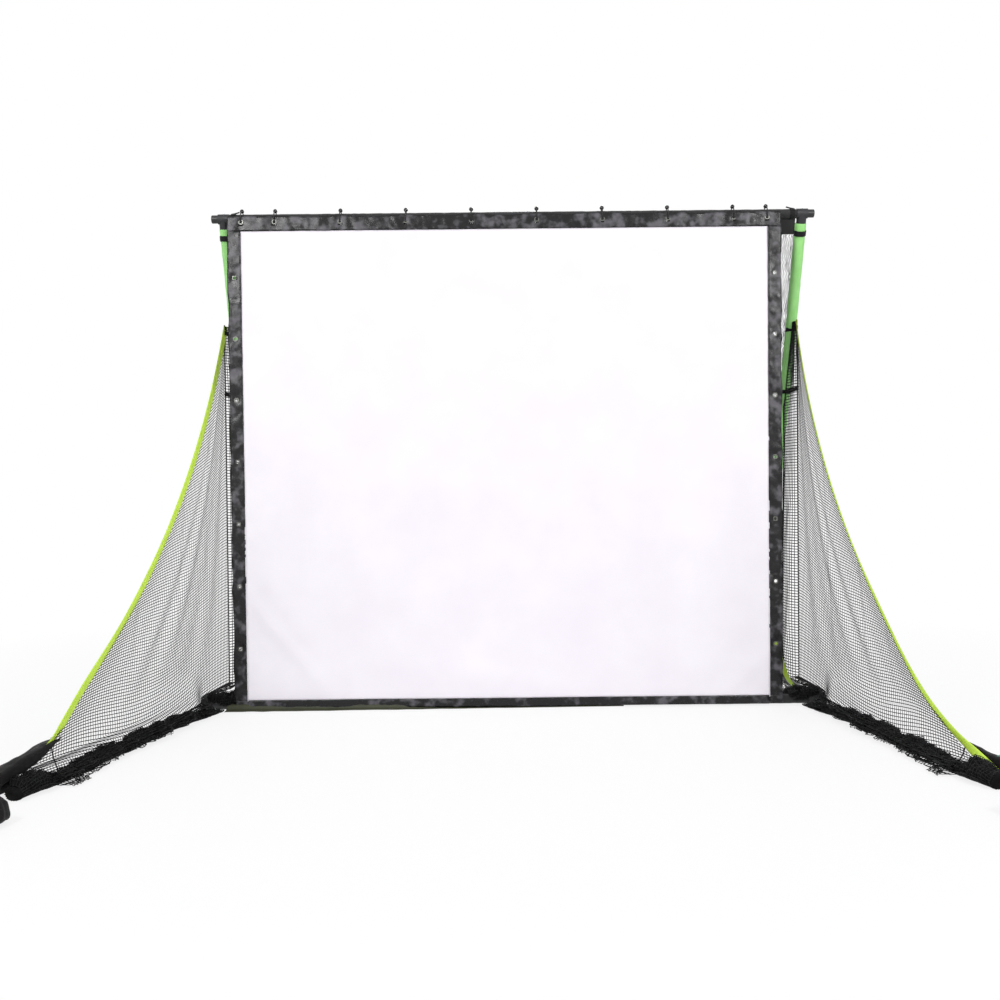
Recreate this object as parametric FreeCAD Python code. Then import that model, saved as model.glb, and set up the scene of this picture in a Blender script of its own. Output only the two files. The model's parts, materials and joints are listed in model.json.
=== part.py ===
# Golf practice net on a knock-down tube frame: hanging screen, return net, two side nets and sandbags.
# Millimetres, +Z up, the player stands on the -Y side. Everything is built with the top bar over Y = 0,
# then the whole set is moved so that the origin lies on the floor under the middle of its outer box.
import FreeCAD
import Part
import math
import os

V = FreeCAD.Vector
os.makedirs("parts", exist_ok=True)

# Frame tubes and fittings
frame_width = 2742.0
frame_height = 2286.0
frame_depth = 1067.0
bottom_bar_forward = 150.0
tube_od = 38.0
tube_wall = 1.5
fit_gap = 0.15
fitting_wall = 3.85
fitting_width = 52.0
fitting_flat = 1.0
socket_length = 92.0
tube_stub = 52.0
tube_end_gap = 1.0
coupler_length = 210.0
coupler_wall = 2.85
cap_lip = 4.0
cap_plug = 16.0
pole_split_height = 860.0
pole_connector_length = 180.0
pole_connector_wall = 1.5

# Snap buttons
pin_diameter = 7.8
pin_gap = 0.2
pin_proud = 3.5
pin_travel = 4.0
shoulder_radius = 6.0
shoulder_thickness = 1.5
shoulder_gap = 0.5
leaf_width = 9.0
leaf_thickness = 0.8
leaf_length = 42.0

# Return net behind the screen
net_thickness = 3.0
net_bar = 7.0
net_columns = 20
net_rows = (7, 2, 3, 1, 2)
net_leave_height = 1000.0
net_back_height = 600.0
net_back_depth = 505.0
net_ramp_height = 200.0
net_ramp_depth = 330.0
net_toe_height = 62.0
net_toe_depth = 140.0
seam_gap = 0.2
pocket_wall = 1.6
pocket_gap = 0.2
top_flap = 95.0
bottom_flap = 70.0
flap_thickness = 2.4
flap_slit_width = 8.0
flap_slit_end = 41.0
edging_width = 25.0
edging_thickness = 3.0
edging_inset = 8.0
toe_strip_thickness = 2.5
toe_strip_left = 62.0
toe_strip_right = 6.0
toe_strip_end = 480.0

# Fabric sleeves and straps on the poles
sleeve_wall = 1.7
sleeve_gap = 0.3
sleeve_start = 44.0
strap_width = 25.0
strap_thickness = 1.6
strap_gap = 0.3
sleeve_strap_drop = 76.0
corner_strap_inset = 58.0
corner_tail_length = 34.0
corner_tail_rise = 8.0

# Hanging screen
screen_offset = -42.0
screen_white_width = 2447.0
screen_drop_top = 67.0
screen_clear_floor = 5.0
screen_thickness = 2.0
screen_foot_draw = 38.0
screen_folds = 6
screen_fold_depth = 13.0
screen_top_ripple = 1.0
screen_front = 38.0
screen_stop_gap = 2.0
border_top = 70.0
border_side = 62.0
border_bottom = 37.0
border_thickness = 2.4
eyelet_pitch = 304.8
eyelet_count = 8
eyelet_corner = 1222.0
eyelet_bore = 14.0
eyelet_wall = 1.0
eyelet_flange = 24.0
eyelet_flange_thickness = 0.9
side_eyelet_pitch = 285.0
side_eyelet_count = 7
side_eyelet_first = 285.0
bungee_radius = 36.0
bungee_cord = 5.0
bungee_back = 11.0
bungee_low = 3.0
ball_diameter = 20.0
ball_bore_gap = 0.1

# Side nets, measured from the upright cord that they turn on
side_cord_x = {"left": 1385.0, "right": 1358.0}
side_cord_y = 118.0
side_flare = {"left": 11.0, "right": 8.0}
side_cord_diameter = 6.0
side_cord_foot = 76.0
side_height = 1790.0
side_reach = {"left": 1660.0, "right": 1540.0}
side_front_height = {"left": 92.0, "right": 92.0}
side_sag = {"left": 243.0, "right": 268.0}
side_tail = 120.0
side_webbing_width = 32.0
side_thickness = 3.0
side_foot_front = 8.0
side_cell = 84.0
side_strap_drops = (38.0, 330.0)
side_eye_height = 20.0
side_eye_wall = 1.8
side_eye_gap = 0.4
side_notch = 9.0
hem_start = 430.0
hem_length = 1170.0
hem_width = 96.0
hem_height = 14.0
hem_lap = 10.0
hem_sections = 8
hem_gap = 0.3

# Net gussets between the upright cords and the poles
gusset_inset = {"left": 13.0, "right": 8.0}
gusset_turn = {"left": 5.6, "right": 1.3}
gusset_front = 8.0
gusset_top_gap = 5.0
gusset_low = 90.0
gusset_bend = 360.0
gusset_low_back = 60.0
gusset_tie_gap = 20.0
gusset_gap = 0.3

# Sandbags at the front ends of the side nets: one pouch outside the net, one further forward inside it
bag_gap = 0.3
bag_outer_start = 1620.0
bag_outer_size = (150.0, 400.0, 85.0)
bag_inner_start = 1930.0
bag_inner_inset = 50.0
bag_inner_size = (140.0, 340.0, 90.0)
bag_rounding = 34.0
apron_tip = 1430.0
apron_lap = 24.0
apron_width = 105.0
saddle_width = 130.0
saddle_start = 1780.0
saddle_skew = 170.0
saddle_thickness = 3.0
saddle_lap = 60.0
handle_width = 30.0
handle_length = 150.0
handle_rise = 26.0
handle_thickness = 3.0

tube_r = tube_od / 2
bore_r = tube_r + fit_gap
fitting_r = bore_r + fitting_wall
coupler_r = bore_r + coupler_wall
tube_in = tube_r - tube_wall
pole_x = frame_width / 2 - tube_r
floor_z = fitting_r - fitting_flat
top_z = frame_height - tube_r
front_y = -bottom_bar_forward
rear_y = front_y - tube_r + frame_depth - tube_r
stub_x = pole_x + tube_stub
pocket_r = tube_r + pocket_gap + pocket_wall
sleeve_in = fitting_r + sleeve_gap
sleeve_r = sleeve_in + sleeve_wall
lean = math.atan2(rear_y, top_z - floor_z)
pole_dir = V(0, math.sin(lean), -math.cos(lean))
SIDES = (("left", -1), ("right", 1))
nodes = {}


def rod(start, direction, length, radius):
    return Part.makeCylinder(radius, length, start, direction)


def pipe(start, direction, length, outer, inner):
    return rod(start, direction, length, outer).cut(rod(start, direction, length, inner))


def box_between(low, high):
    return Part.makeBox(high[0] - low[0], high[1] - low[1], high[2] - low[2], V(*low))


def loop_face(points, holes=()):
    wires = [Part.makePolygon(list(points) + [points[0]])]
    for hole in holes:
        wires.append(Part.makePolygon(list(hole) + [hole[0]]))
    face = Part.Face(wires[0])
    if len(wires) > 1:
        face = Part.Face(wires, "Part::FaceMakerBullseye")
    return face


def plate(points, push):
    return loop_face(points).extrude(push)


def mirror_x(shape):
    return shape.mirror(V(0, 0, 0), V(1, 0, 0))


def on_pole(distance):
    return V(0, 0, top_z) + pole_dir * distance


def pole_distance(height):
    return (top_z - height) / math.cos(lean)


def through_fitting(center, socket_dir):
    # A short sleeve along X that the bar passes through, with one socket for the next tube.
    start = center - V(fitting_width / 2, 0, 0)
    body = rod(start, V(1, 0, 0), fitting_width, fitting_r)
    body = body.fuse(rod(center, socket_dir, socket_length, fitting_r))
    body = body.cut(rod(start - V(1, 0, 0), V(1, 0, 0), fitting_width + 2, bore_r))
    body = body.cut(rod(center + socket_dir * tube_clear, socket_dir, socket_length, bore_r))
    return body


def flat_foot(shape):
    big = frame_depth
    return shape.cut(Part.makeBox(8 * big, 8 * big, big, V(-4 * big, -4 * big, -big)))


# A plugged tube starts just clear of the bar that crosses its fitting.
tube_clear = bore_r + tube_wall
elbow_clear = bore_r / math.tan((math.pi / 2 - lean) / 2) + tube_wall
bag_face = side_thickness / 2 + bag_gap
side_strap_heights = [side_height - drop for drop in side_strap_drops]
top_center = V(pole_x, 0, top_z)
front_center = V(pole_x, front_y, floor_z)
rear_center = V(pole_x, rear_y, floor_z)
rail_dir = V(0, 1, 0)

# Snap buttons: each sits in a hole through the outer and the inner wall and is pushed in against a leaf.
snaps = {}


def add_snap(name, axis_point, along, out, inner_radius, outer_radius):
    snaps[name] = (axis_point, along, out, inner_radius, outer_radius)


pole_split = pole_distance(pole_split_height)
connector_r = tube_in - fit_gap
connector_in = connector_r - pole_connector_wall
snap_reach = socket_length * 0.68
add_snap("snap_button_top_bar", V(coupler_length * 0.33, 0, top_z), V(1, 0, 0), V(0, 0, 1), tube_in, coupler_r)
add_snap("snap_button_bottom_bar", V(coupler_length * 0.33, front_y, floor_z), V(1, 0, 0), V(0, 0, 1),
         tube_in, coupler_r)
for side, sign in SIDES:
    shift = V(sign * pole_x, 0, 0)
    pole_out = V(0, math.cos(lean), math.sin(lean))
    add_snap("snap_button_top_corner_" + side, V(sign * pole_x, 0, top_z), V(-sign, 0, 0), V(0, 0, 1),
             tube_in, fitting_r)
    add_snap("snap_button_pole_" + side, shift + on_pole(pole_split + pole_connector_length / 4), pole_dir,
             pole_out, connector_in, tube_r)
    add_snap("snap_button_rail_rear_" + side, V(sign * pole_x, rear_y - snap_reach, floor_z), V(0, -1, 0),
             V(0, 0, 1), tube_in, fitting_r)
    add_snap("snap_button_rail_front_" + side, V(sign * pole_x, front_y + snap_reach, floor_z), V(0, 1, 0),
             V(0, 0, 1), tube_in, fitting_r)


def drill(shape, name):
    point, along, out, inner, outer = snaps[name]
    hole = rod(point + out * (inner / 2), out, outer, pin_diameter / 2 + pin_gap)
    return shape.cut(hole)


def shoulder_top(inner):
    return math.sqrt(inner ** 2 - shoulder_radius ** 2) - shoulder_gap


def strip(center, along, across, out, length, width, thickness):
    a = center - across * (width / 2)
    points = [a, a + along * length, a + along * length + across * width, a + across * width]
    return plate(points, out * thickness)


def snap_button(name):
    point, along, out, inner, outer = snaps[name]
    across = along.cross(out)
    top = shoulder_top(inner)
    low = top - shoulder_thickness
    pin = rod(point + out * low, out, outer + pin_proud - low, pin_diameter / 2)
    shoulder = rod(point + out * low, out, shoulder_thickness, shoulder_radius)
    leaf = strip(point + out * low, along, across, out, leaf_length, leaf_width, leaf_thickness)
    return pin.fuse(shoulder).fuse(leaf).removeSplitter()


def snap_spring(name):
    point, along, out, inner, outer = snaps[name]
    across = along.cross(out)
    seat = -math.sqrt(inner ** 2 - (leaf_width / 2) ** 2) + fit_gap
    leg = strip(point + out * seat, along, across, out, leaf_length, leaf_width, leaf_thickness)
    heel = point + along * leaf_length + out * seat
    rise = shoulder_top(inner) - shoulder_thickness - pin_travel - 2 * fit_gap - seat
    bend = strip(heel - along * leaf_thickness, along, across, out, leaf_thickness, leaf_width, rise)
    return leg.fuse(bend).removeSplitter()


# Top and bottom bars, each in two tubes joined by a coupler.
for level, y, z, snap in (("top", 0.0, top_z, "snap_button_top_bar"),
                          ("bottom", front_y, floor_z, "snap_button_bottom_bar")):
    half = stub_x - tube_end_gap / 2
    for side, sign in SIDES:
        tube = pipe(V(sign * tube_end_gap / 2, y, z), V(sign, 0, 0), half, tube_r, tube_in)
        if side == "right":
            tube = drill(tube, snap)
        if level == "top":
            tube = drill(tube, "snap_button_top_corner_" + side)
        nodes[level + "_bar_" + side] = tube
    coupler = pipe(V(-coupler_length / 2, y, z), V(1, 0, 0), coupler_length, coupler_r, bore_r)
    nodes[level + "_bar_coupler"] = drill(coupler, snap)

# Corner fittings, poles and base rails.
connectors = []
for side, sign in SIDES:
    at = V(sign * pole_x, 0, 0)
    top = through_fitting(at + V(0, 0, top_z), pole_dir)
    nodes["top_corner_" + side] = drill(top, "snap_button_top_corner_" + side)
    front = through_fitting(at + V(0, front_y, floor_z), rail_dir)
    nodes["front_corner_" + side] = flat_foot(drill(front, "snap_button_rail_front_" + side))
    rear_at = at + V(0, rear_y, floor_z)
    rear = Part.makeSphere(fitting_r, rear_at)
    for way in (pole_dir * -1, rail_dir * -1):
        rear = rear.fuse(rod(rear_at, way, socket_length, fitting_r))
    for way in (pole_dir * -1, rail_dir * -1):
        rear = rear.cut(rod(rear_at + way * elbow_clear, way, socket_length, bore_r))
    nodes["rear_corner_" + side] = flat_foot(drill(rear, "snap_button_rail_rear_" + side))
    split = at + on_pole(pole_split)
    upper = pipe(at + on_pole(tube_clear), pole_dir, pole_split - tube_clear - tube_end_gap / 2, tube_r, tube_in)
    nodes["upper_pole_" + side] = upper
    lower_start = split + pole_dir * (tube_end_gap / 2)
    lower_length = (rear_at - lower_start).Length - elbow_clear
    lower = pipe(lower_start, pole_dir, lower_length, tube_r, tube_in)
    nodes["lower_pole_" + side] = drill(lower, "snap_button_pole_" + side)
    connector = pipe(split - pole_dir * (pole_connector_length / 2), pole_dir, pole_connector_length,
                     connector_r, connector_in)
    connectors.append(drill(connector, "snap_button_pole_" + side))
    rail_length = rear_y - front_y - elbow_clear - tube_clear
    rail = pipe(at + V(0, front_y + tube_clear, floor_z), rail_dir, rail_length, tube_r, tube_in)
    rail = drill(rail, "snap_button_rail_rear_" + side)
    nodes["base_rail_" + side] = drill(rail, "snap_button_rail_front_" + side)

nodes["pole_connectors"] = Part.makeCompound(connectors)

# Domed caps close the four bar ends.
caps = []
for y, z in ((0.0, top_z), (front_y, floor_z)):
    for side, sign in SIDES:
        end = V(sign * stub_x, y, z)
        out = V(sign, 0, 0)
        plug = rod(end - out * cap_plug, out, cap_plug, tube_in - fit_gap)
        lip = rod(end, out, cap_lip, tube_r)
        lip = lip.makeFillet(cap_lip * 0.8, [lip.Edges[0] if lip.Edges[0].CenterOfMass.x * sign >
                                              lip.Edges[2].CenterOfMass.x * sign else lip.Edges[2]])
        caps.append(plug.fuse(lip))
nodes["end_caps"] = Part.makeCompound(caps)

for name in snaps:
    nodes[name] = snap_button(name)
nodes["button_springs"] = Part.makeCompound([snap_spring(name) for name in snaps])


# Return net: flat holed stretches between the top bar and the bottom bar.
def holed_stretch(start, end, half_width, rows):
    # Points are (y, z); the stretch is thickened towards the back of the net.
    run = V(0, end[0] - start[0], end[1] - start[1])
    length = run.Length
    run.normalize()
    back = V(1, 0, 0).cross(run) * -1
    if back.y < 0:
        back = back * -1
    corner = V(-half_width, start[0], start[1])
    step_x = (2 * half_width - net_bar) / net_columns
    step_r = (length - net_bar) / rows
    outline = [corner, corner + V(2 * half_width, 0, 0), corner + V(2 * half_width, 0, 0) + run * length,
               corner + run * length]
    holes = []
    for i in range(net_columns):
        for j in range(rows):
            a = corner + V(net_bar + i * step_x, 0, 0) + run * (net_bar + j * step_r)
            across = V(step_x - net_bar, 0, 0)
            down = run * (step_r - net_bar)
            holes.append([a, a + across, a + across + down, a + down])
    return loop_face(outline, holes).extrude(back * net_thickness)


def toward(start, end, distance):
    run = V(0, end[0] - start[0], end[1] - start[1])
    run.normalize()
    return (start[0] + run.y * distance, start[1] + run.z * distance)


leave = (math.tan(lean) * (top_z - net_leave_height), net_leave_height)
net_path = [(0.0, top_z), leave, (net_back_depth, net_back_height), (net_ramp_depth, net_ramp_height),
            (net_toe_depth, net_toe_height), (front_y, floor_z)]
net_points = list(net_path)
net_points[0] = toward(net_path[0], net_path[1], top_flap + seam_gap)
net_points[-1] = toward(net_path[-1], net_path[-2], bottom_flap + seam_gap)
sleeve_half = pole_x - sleeve_r - seam_gap
edging_out = pole_x - tube_r - edging_inset
edging_half = edging_out - edging_width - seam_gap
stretches = []
for i in range(len(net_rows)):
    half = sleeve_half if i == 0 else edging_half
    stretches.append(holed_stretch(net_points[i], net_points[i + 1], half, net_rows[i]))
nodes["return_net"] = Part.makeCompound(stretches)

# Green webbing on the free lower edges of the return net.
for side, sign in SIDES:
    strips = []
    for i in range(1, len(net_rows)):
        a, b = net_points[i], net_points[i + 1]
        run = V(0, b[0] - a[0], b[1] - a[1])
        length = run.Length
        run.normalize()
        back = V(0, -run.z, run.y)
        middle = V(sign * (edging_out - edging_width / 2), a[0], a[1])
        strips.append(strip(middle, run, V(1, 0, 0), back, length, edging_width, edging_thickness))
    nodes["net_edging_" + side] = Part.makeCompound(strips)


# Fabric pockets sewn round both bars, open at the couplers, with a flap that carries the net.
pocket_end = pole_x - fitting_width / 2 - seam_gap * 10
pocket_start = coupler_length / 2 + seam_gap * 5


def bar_pocket(center, flap_dir, flap_length):
    parts = []
    for side, sign in SIDES:
        ring = pipe(center + V(sign * pocket_start, 0, 0), V(sign, 0, 0), pocket_end - pocket_start,
                    pocket_r, tube_r + pocket_gap)
        parts.append(ring)
    normal = V(1, 0, 0).cross(flap_dir)
    for side, sign in SIDES:
        middle = center + V(sign * (pocket_start + pocket_end) / 2, 0, 0) - normal * (flap_thickness / 2)
        inner = tube_r + pocket_gap + pocket_wall / 2
        parts.append(strip(middle + flap_dir * inner, flap_dir, V(1, 0, 0), normal, flap_length - inner,
                           pocket_end - pocket_start, flap_thickness))
    bridge = center - normal * (flap_thickness / 2) + flap_dir * (coupler_r + pocket_gap)
    parts.append(strip(bridge, flap_dir, V(1, 0, 0), normal, flap_length - coupler_r - pocket_gap,
                       2 * pocket_start, flap_thickness))
    return parts[0].multiFuse(parts[1:])


inner_half = eyelet_pitch * (eyelet_count - 1) / 2
eyelet_xs = [screen_offset - inner_half + eyelet_pitch * i for i in range(eyelet_count)]
eyelet_xs = [screen_offset - eyelet_corner] + eyelet_xs + [screen_offset + eyelet_corner]
band = bar_pocket(V(0, 0, top_z), pole_dir, top_flap)
slits = []
slit_normal = V(1, 0, 0).cross(pole_dir)
for x in eyelet_xs:
    start = V(x, 0, top_z) + pole_dir * (pocket_r + seam_gap) - slit_normal * strap_width / 2
    slits.append(strip(start, pole_dir, V(1, 0, 0), slit_normal, flap_slit_end - pocket_r, flap_slit_width,
                       strap_width))
nodes["net_top_band"] = band.cut(Part.makeCompound(slits))
toe_dir = V(0, net_path[-2][0] - front_y, net_path[-2][1] - floor_z)
toe_dir.normalize()
bottom_band = bar_pocket(V(0, front_y, floor_z), toe_dir, bottom_flap)
nodes["net_bottom_band"] = bottom_band
toe_back = front_y - pocket_r - seam_gap
toe_strip = [V(-pocket_end, toe_back, 0), V(toe_strip_end, toe_back, 0),
             V(toe_strip_end, toe_back - toe_strip_right, 0), V(-pocket_end, toe_back - toe_strip_left, 0)]
toe_lip = plate(toe_strip, V(0, 0, toe_strip_thickness))
toe_lap = box_between((-pocket_end, toe_back - seam_gap, toe_strip_thickness),
                      (-pocket_start, toe_back + seam_gap, floor_z * 0.75))
nodes["net_toe_webbing"] = toe_lip.fuse(toe_lap)

# Sleeves sewn to the return net, and the straps that close them.
straps = []
corner_straps = []
for side, sign in SIDES:
    at = V(sign * pole_x, 0, 0)
    sleeve_end = pole_distance(net_leave_height)
    nodes["pole_sleeve_" + side] = pipe(at + on_pole(sleeve_start), pole_dir, sleeve_end - sleeve_start,
                                        sleeve_r, sleeve_in)
    straps.append(pipe(at + on_pole(sleeve_strap_drop), pole_dir, strap_width, sleeve_r + strap_gap +
                       strap_thickness, sleeve_r + strap_gap))
    ring_start = V(sign * (pole_x - corner_strap_inset), 0, top_z)
    ring_r = pocket_r + strap_gap
    ring = pipe(ring_start, V(sign, 0, 0), strap_width * 0.9, ring_r + strap_thickness, ring_r)
    tail_at = V(sign * (pole_x - corner_strap_inset + strap_width * 0.9), strap_width / 2, top_z + ring_r)
    tail_end = tail_at + V(-sign * corner_tail_length, 0, corner_tail_rise)
    tail = plate([tail_at, tail_end, tail_end + V(0, 0, strap_thickness), tail_at + V(0, 0, strap_thickness)],
                 V(0, -strap_width, 0))
    tail = tail.cut(rod(ring_start - V(strap_width * 4, 0, 0), V(1, 0, 0), strap_width * 8, ring_r))
    corner_straps.append(ring.fuse(tail).cut(nodes["net_top_band"]))
nodes["sleeve_straps"] = Part.makeCompound(straps)
nodes["corner_straps"] = Part.makeCompound(corner_straps)

# Hanging screen. It is drawn upright and then leant so that its foot rests on the bottom bar.
foot_gap = pocket_r + screen_stop_gap
screen_lean = math.atan2(bottom_bar_forward + foot_gap - screen_front, top_z - floor_z)
screen_pivot = V(0, -screen_front, top_z)
border_high = top_z - screen_drop_top + border_top
white_high = border_high - border_top
border_low = top_z - (top_z - screen_clear_floor) / math.cos(screen_lean)
white_low = border_low + border_bottom
white_half = screen_white_width / 2


def lean_screen(shape):
    turned = shape.copy()
    turned.rotate(screen_pivot, V(1, 0, 0), -math.degrees(screen_lean))
    return turned


def draw_in(z):
    return screen_foot_draw * (white_high - z) / (white_high - white_low)


def ripple(z):
    share = (white_high - z) / (white_high - white_low)
    return screen_top_ripple + (screen_fold_depth - screen_top_ripple) * share


def screen_wire(z, thickness, margin=0.0):
    # One level of the screen: shallow forward folds in front, the same folds behind.
    half = white_half - draw_in(z)
    step = 2 * half / screen_folds
    xs = [screen_offset - half + step * i for i in range(screen_folds + 1)]
    edges = []
    front, back = -screen_front - thickness, -screen_front
    depth = ripple(z)
    left, right = xs[0] - margin, xs[-1] + margin
    if margin:
        edges.append(Part.LineSegment(V(left, front, z), V(xs[0], front, z)).toShape())
    for a, b in zip(xs, xs[1:]):
        edges.append(Part.Arc(V(a, front, z), V((a + b) / 2, front - depth, z), V(b, front, z)).toShape())
    if margin:
        edges.append(Part.LineSegment(V(xs[-1], front, z), V(right, front, z)).toShape())
    edges.append(Part.LineSegment(V(right, front, z), V(right, back, z)).toShape())
    if margin:
        edges.append(Part.LineSegment(V(right, back, z), V(xs[-1], back, z)).toShape())
    for a, b in reversed(list(zip(xs, xs[1:]))):
        edges.append(Part.Arc(V(b, back, z), V((a + b) / 2, back - depth, z), V(a, back, z)).toShape())
    if margin:
        edges.append(Part.LineSegment(V(xs[0], back, z), V(left, back, z)).toShape())
    edges.append(Part.LineSegment(V(left, back, z), V(left, front, z)).toShape())
    return Part.Wire(edges)


panel = Part.makeLoft([screen_wire(white_high, screen_thickness), screen_wire(white_low, screen_thickness)],
                      True, True)
nodes["screen_panel"] = lean_screen(panel)


def eyelet_crossing():
    # Height, below the top bar's axis, at which a bungee ring goes through the leaning screen.
    best = None
    steps = 400
    for i in range(steps):
        drop = border_top * i / steps
        y = -screen_front - border_thickness / 2 - drop * math.tan(screen_lean) + bungee_back
        z = -drop + bungee_low
        miss = abs(math.hypot(y, z) - bungee_radius)
        if best is None or miss < best[0]:
            best = (miss, drop)
    return best[1]


eyelet_drop = eyelet_crossing() / math.cos(screen_lean)
top_half = white_half + border_side
border_parts = [box_between((screen_offset - top_half, -screen_front - border_thickness, white_high),
                            (screen_offset + top_half, -screen_front, border_high))]
for side, sign in SIDES:
    inner_top = screen_offset + sign * white_half
    inner_low = screen_offset + sign * (white_half - draw_in(white_low))
    corners = [V(inner_top, -screen_front, white_high), V(inner_top + sign * border_side, -screen_front, white_high),
               V(inner_low + sign * border_side, -screen_front, white_low), V(inner_low, -screen_front, white_low)]
    border_parts.append(plate(corners, V(0, -border_thickness, 0)))
border_parts.append(Part.makeLoft([screen_wire(white_low, border_thickness, border_side),
                                   screen_wire(border_low, border_thickness, border_side)], True, True))

eyelet_places = [V(x, 0, top_z - eyelet_drop) for x in eyelet_xs]
for side, sign in SIDES:
    for i in range(side_eyelet_count):
        z = top_z - side_eyelet_first - side_eyelet_pitch * i
        x = screen_offset + sign * (white_half - draw_in(z) + border_side / 2)
        eyelet_places.append(V(x, 0, z))
eyelet_r = eyelet_bore / 2
eyelets = []
punched = []
for place in eyelet_places:
    back = V(place.x, -screen_front + eyelet_flange_thickness, place.z)
    depth = border_thickness + 2 * eyelet_flange_thickness
    barrel = rod(back, V(0, -1, 0), depth, eyelet_r + eyelet_wall)
    rim = rod(back, V(0, -1, 0), eyelet_flange_thickness, eyelet_flange / 2)
    front_rim = rim.translated(V(0, eyelet_flange_thickness - depth, 0))
    eyelets.append(barrel.fuse([rim, front_rim]).cut(rod(back, V(0, -1, 0), depth, eyelet_r)))
    punched.append(rod(back, V(0, -1, 0), depth, eyelet_r + eyelet_wall))
punch = Part.makeCompound(punched)
nodes["screen_border"] = lean_screen(Part.makeCompound([piece.cut(punch) for piece in border_parts]))
nodes["screen_eyelets"] = lean_screen(Part.makeCompound(eyelets))

# Ball bungees: a cord loop goes over the bar and through each top eyelet, with its ball on top.
loops = []
balls = []
for x in eyelet_xs:
    loop_center = V(x, -bungee_back, top_z - bungee_low)
    loops.append(Part.makeTorus(bungee_radius, bungee_cord / 2, loop_center, V(1, 0, 0)))
    ball = Part.makeSphere(ball_diameter / 2, loop_center + V(0, 0, bungee_radius))
    bored = Part.makeTorus(bungee_radius, bungee_cord / 2 + ball_bore_gap, loop_center, V(1, 0, 0))
    balls.append(ball.cut(bored))
nodes["bungee_cords"] = Part.makeCompound(loops)
nodes["bungee_balls"] = Part.makeCompound(balls)


# Side nets are drawn in the plane X = 0, running forward from the cord, then turned and moved out.
class SagCurve:
    def __init__(self, side):
        a = (side_cord_diameter / 2 + seam_gap, side_height)
        b = (side_reach[side], side_front_height[side])
        chord = math.hypot(b[0] - a[0], b[1] - a[1])
        sag = side_sag[side]
        self.radius = chord ** 2 / (8 * sag) + sag / 2
        along = ((b[0] - a[0]) / chord, (b[1] - a[1]) / chord)
        down = (along[1], -along[0])
        mid = ((a[0] + b[0]) / 2, (a[1] + b[1]) / 2)
        rise = self.radius - sag
        self.center = (mid[0] - down[0] * rise, mid[1] - down[1] * rise)
        self.start = a
        self.end = b

    def point_at(self, s, offset):
        reach = self.radius + offset
        return (s, self.center[1] - math.sqrt(reach ** 2 - (self.center[0] - s) ** 2))

    def front(self, offset):
        k = (self.radius + offset) / self.radius
        return (self.center[0] + (self.end[0] - self.center[0]) * k,
                self.center[1] + (self.end[1] - self.center[1]) * k)

    def tail(self, offset):
        x, z = self.front(offset)
        out = ((self.end[0] - self.center[0]) / self.radius, (self.end[1] - self.center[1]) / self.radius)
        return (x - out[1] * side_tail, z + out[0] * side_tail)

    def edges(self, offset):
        # From the cord to the front end, at this distance inside the sagging top edge.
        first = self.point_at(self.start[0], offset)
        last = self.front(offset)
        middle = self.point_at((first[0] + last[0]) / 2, offset)
        return first, middle, last, self.tail(offset)

    def height(self, s, offset):
        last, tail = self.front(offset), self.tail(offset)
        if s <= last[0]:
            return self.point_at(s, offset)[1]
        return last[1] + (tail[1] - last[1]) * (s - last[0]) / (tail[0] - last[0])


def in_net(s, z, x=0.0):
    return V(x, -s, z)


def sheet_wire(points_and_arcs):
    edges = []
    for item in points_and_arcs:
        if len(item) == 3:
            edges.append(Part.Arc(*[in_net(*p) for p in item]).toShape())
        else:
            edges.append(Part.LineSegment(*[in_net(*p) for p in item]).toShape())
    return Part.Wire(edges)


def place_side(shape, side, sign):
    turned = shape.copy()
    turned.rotate(V(0, 0, 0), V(0, 0, 1), side_flare[side])
    if sign < 0:
        turned = mirror_x(turned)
    turned.translate(V(sign * side_cord_x[side], side_cord_y, 0))
    return turned


def side_webbing(side):
    curve = SagCurve(side)
    a0, a1, a2, a3 = curve.edges(0)
    b0, b1, b2, b3 = curve.edges(side_webbing_width)
    wire = sheet_wire([(a0, a1, a2), (a2, a3), (a3, b3), (b3, b2), (b2, b1, b0), (b0, a0)])
    web = Part.Face(wire).extrude(V(side_thickness, 0, 0))
    return web.translated(V(-side_thickness / 2, 0, 0))


def foot_height(s, front_s):
    back = side_cord_diameter / 2 + seam_gap
    return side_cord_foot + (side_foot_front - side_cord_foot) * (s - back) / (front_s - back)


def notches():
    cuts = []
    for z in side_strap_heights:
        clear = side_eye_height / 2 + side_eye_gap * 5
        cuts.append(box_between((-side_notch, -side_notch, z - clear), (side_notch, side_notch, z + clear)))
    return Part.makeCompound(cuts)


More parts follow.
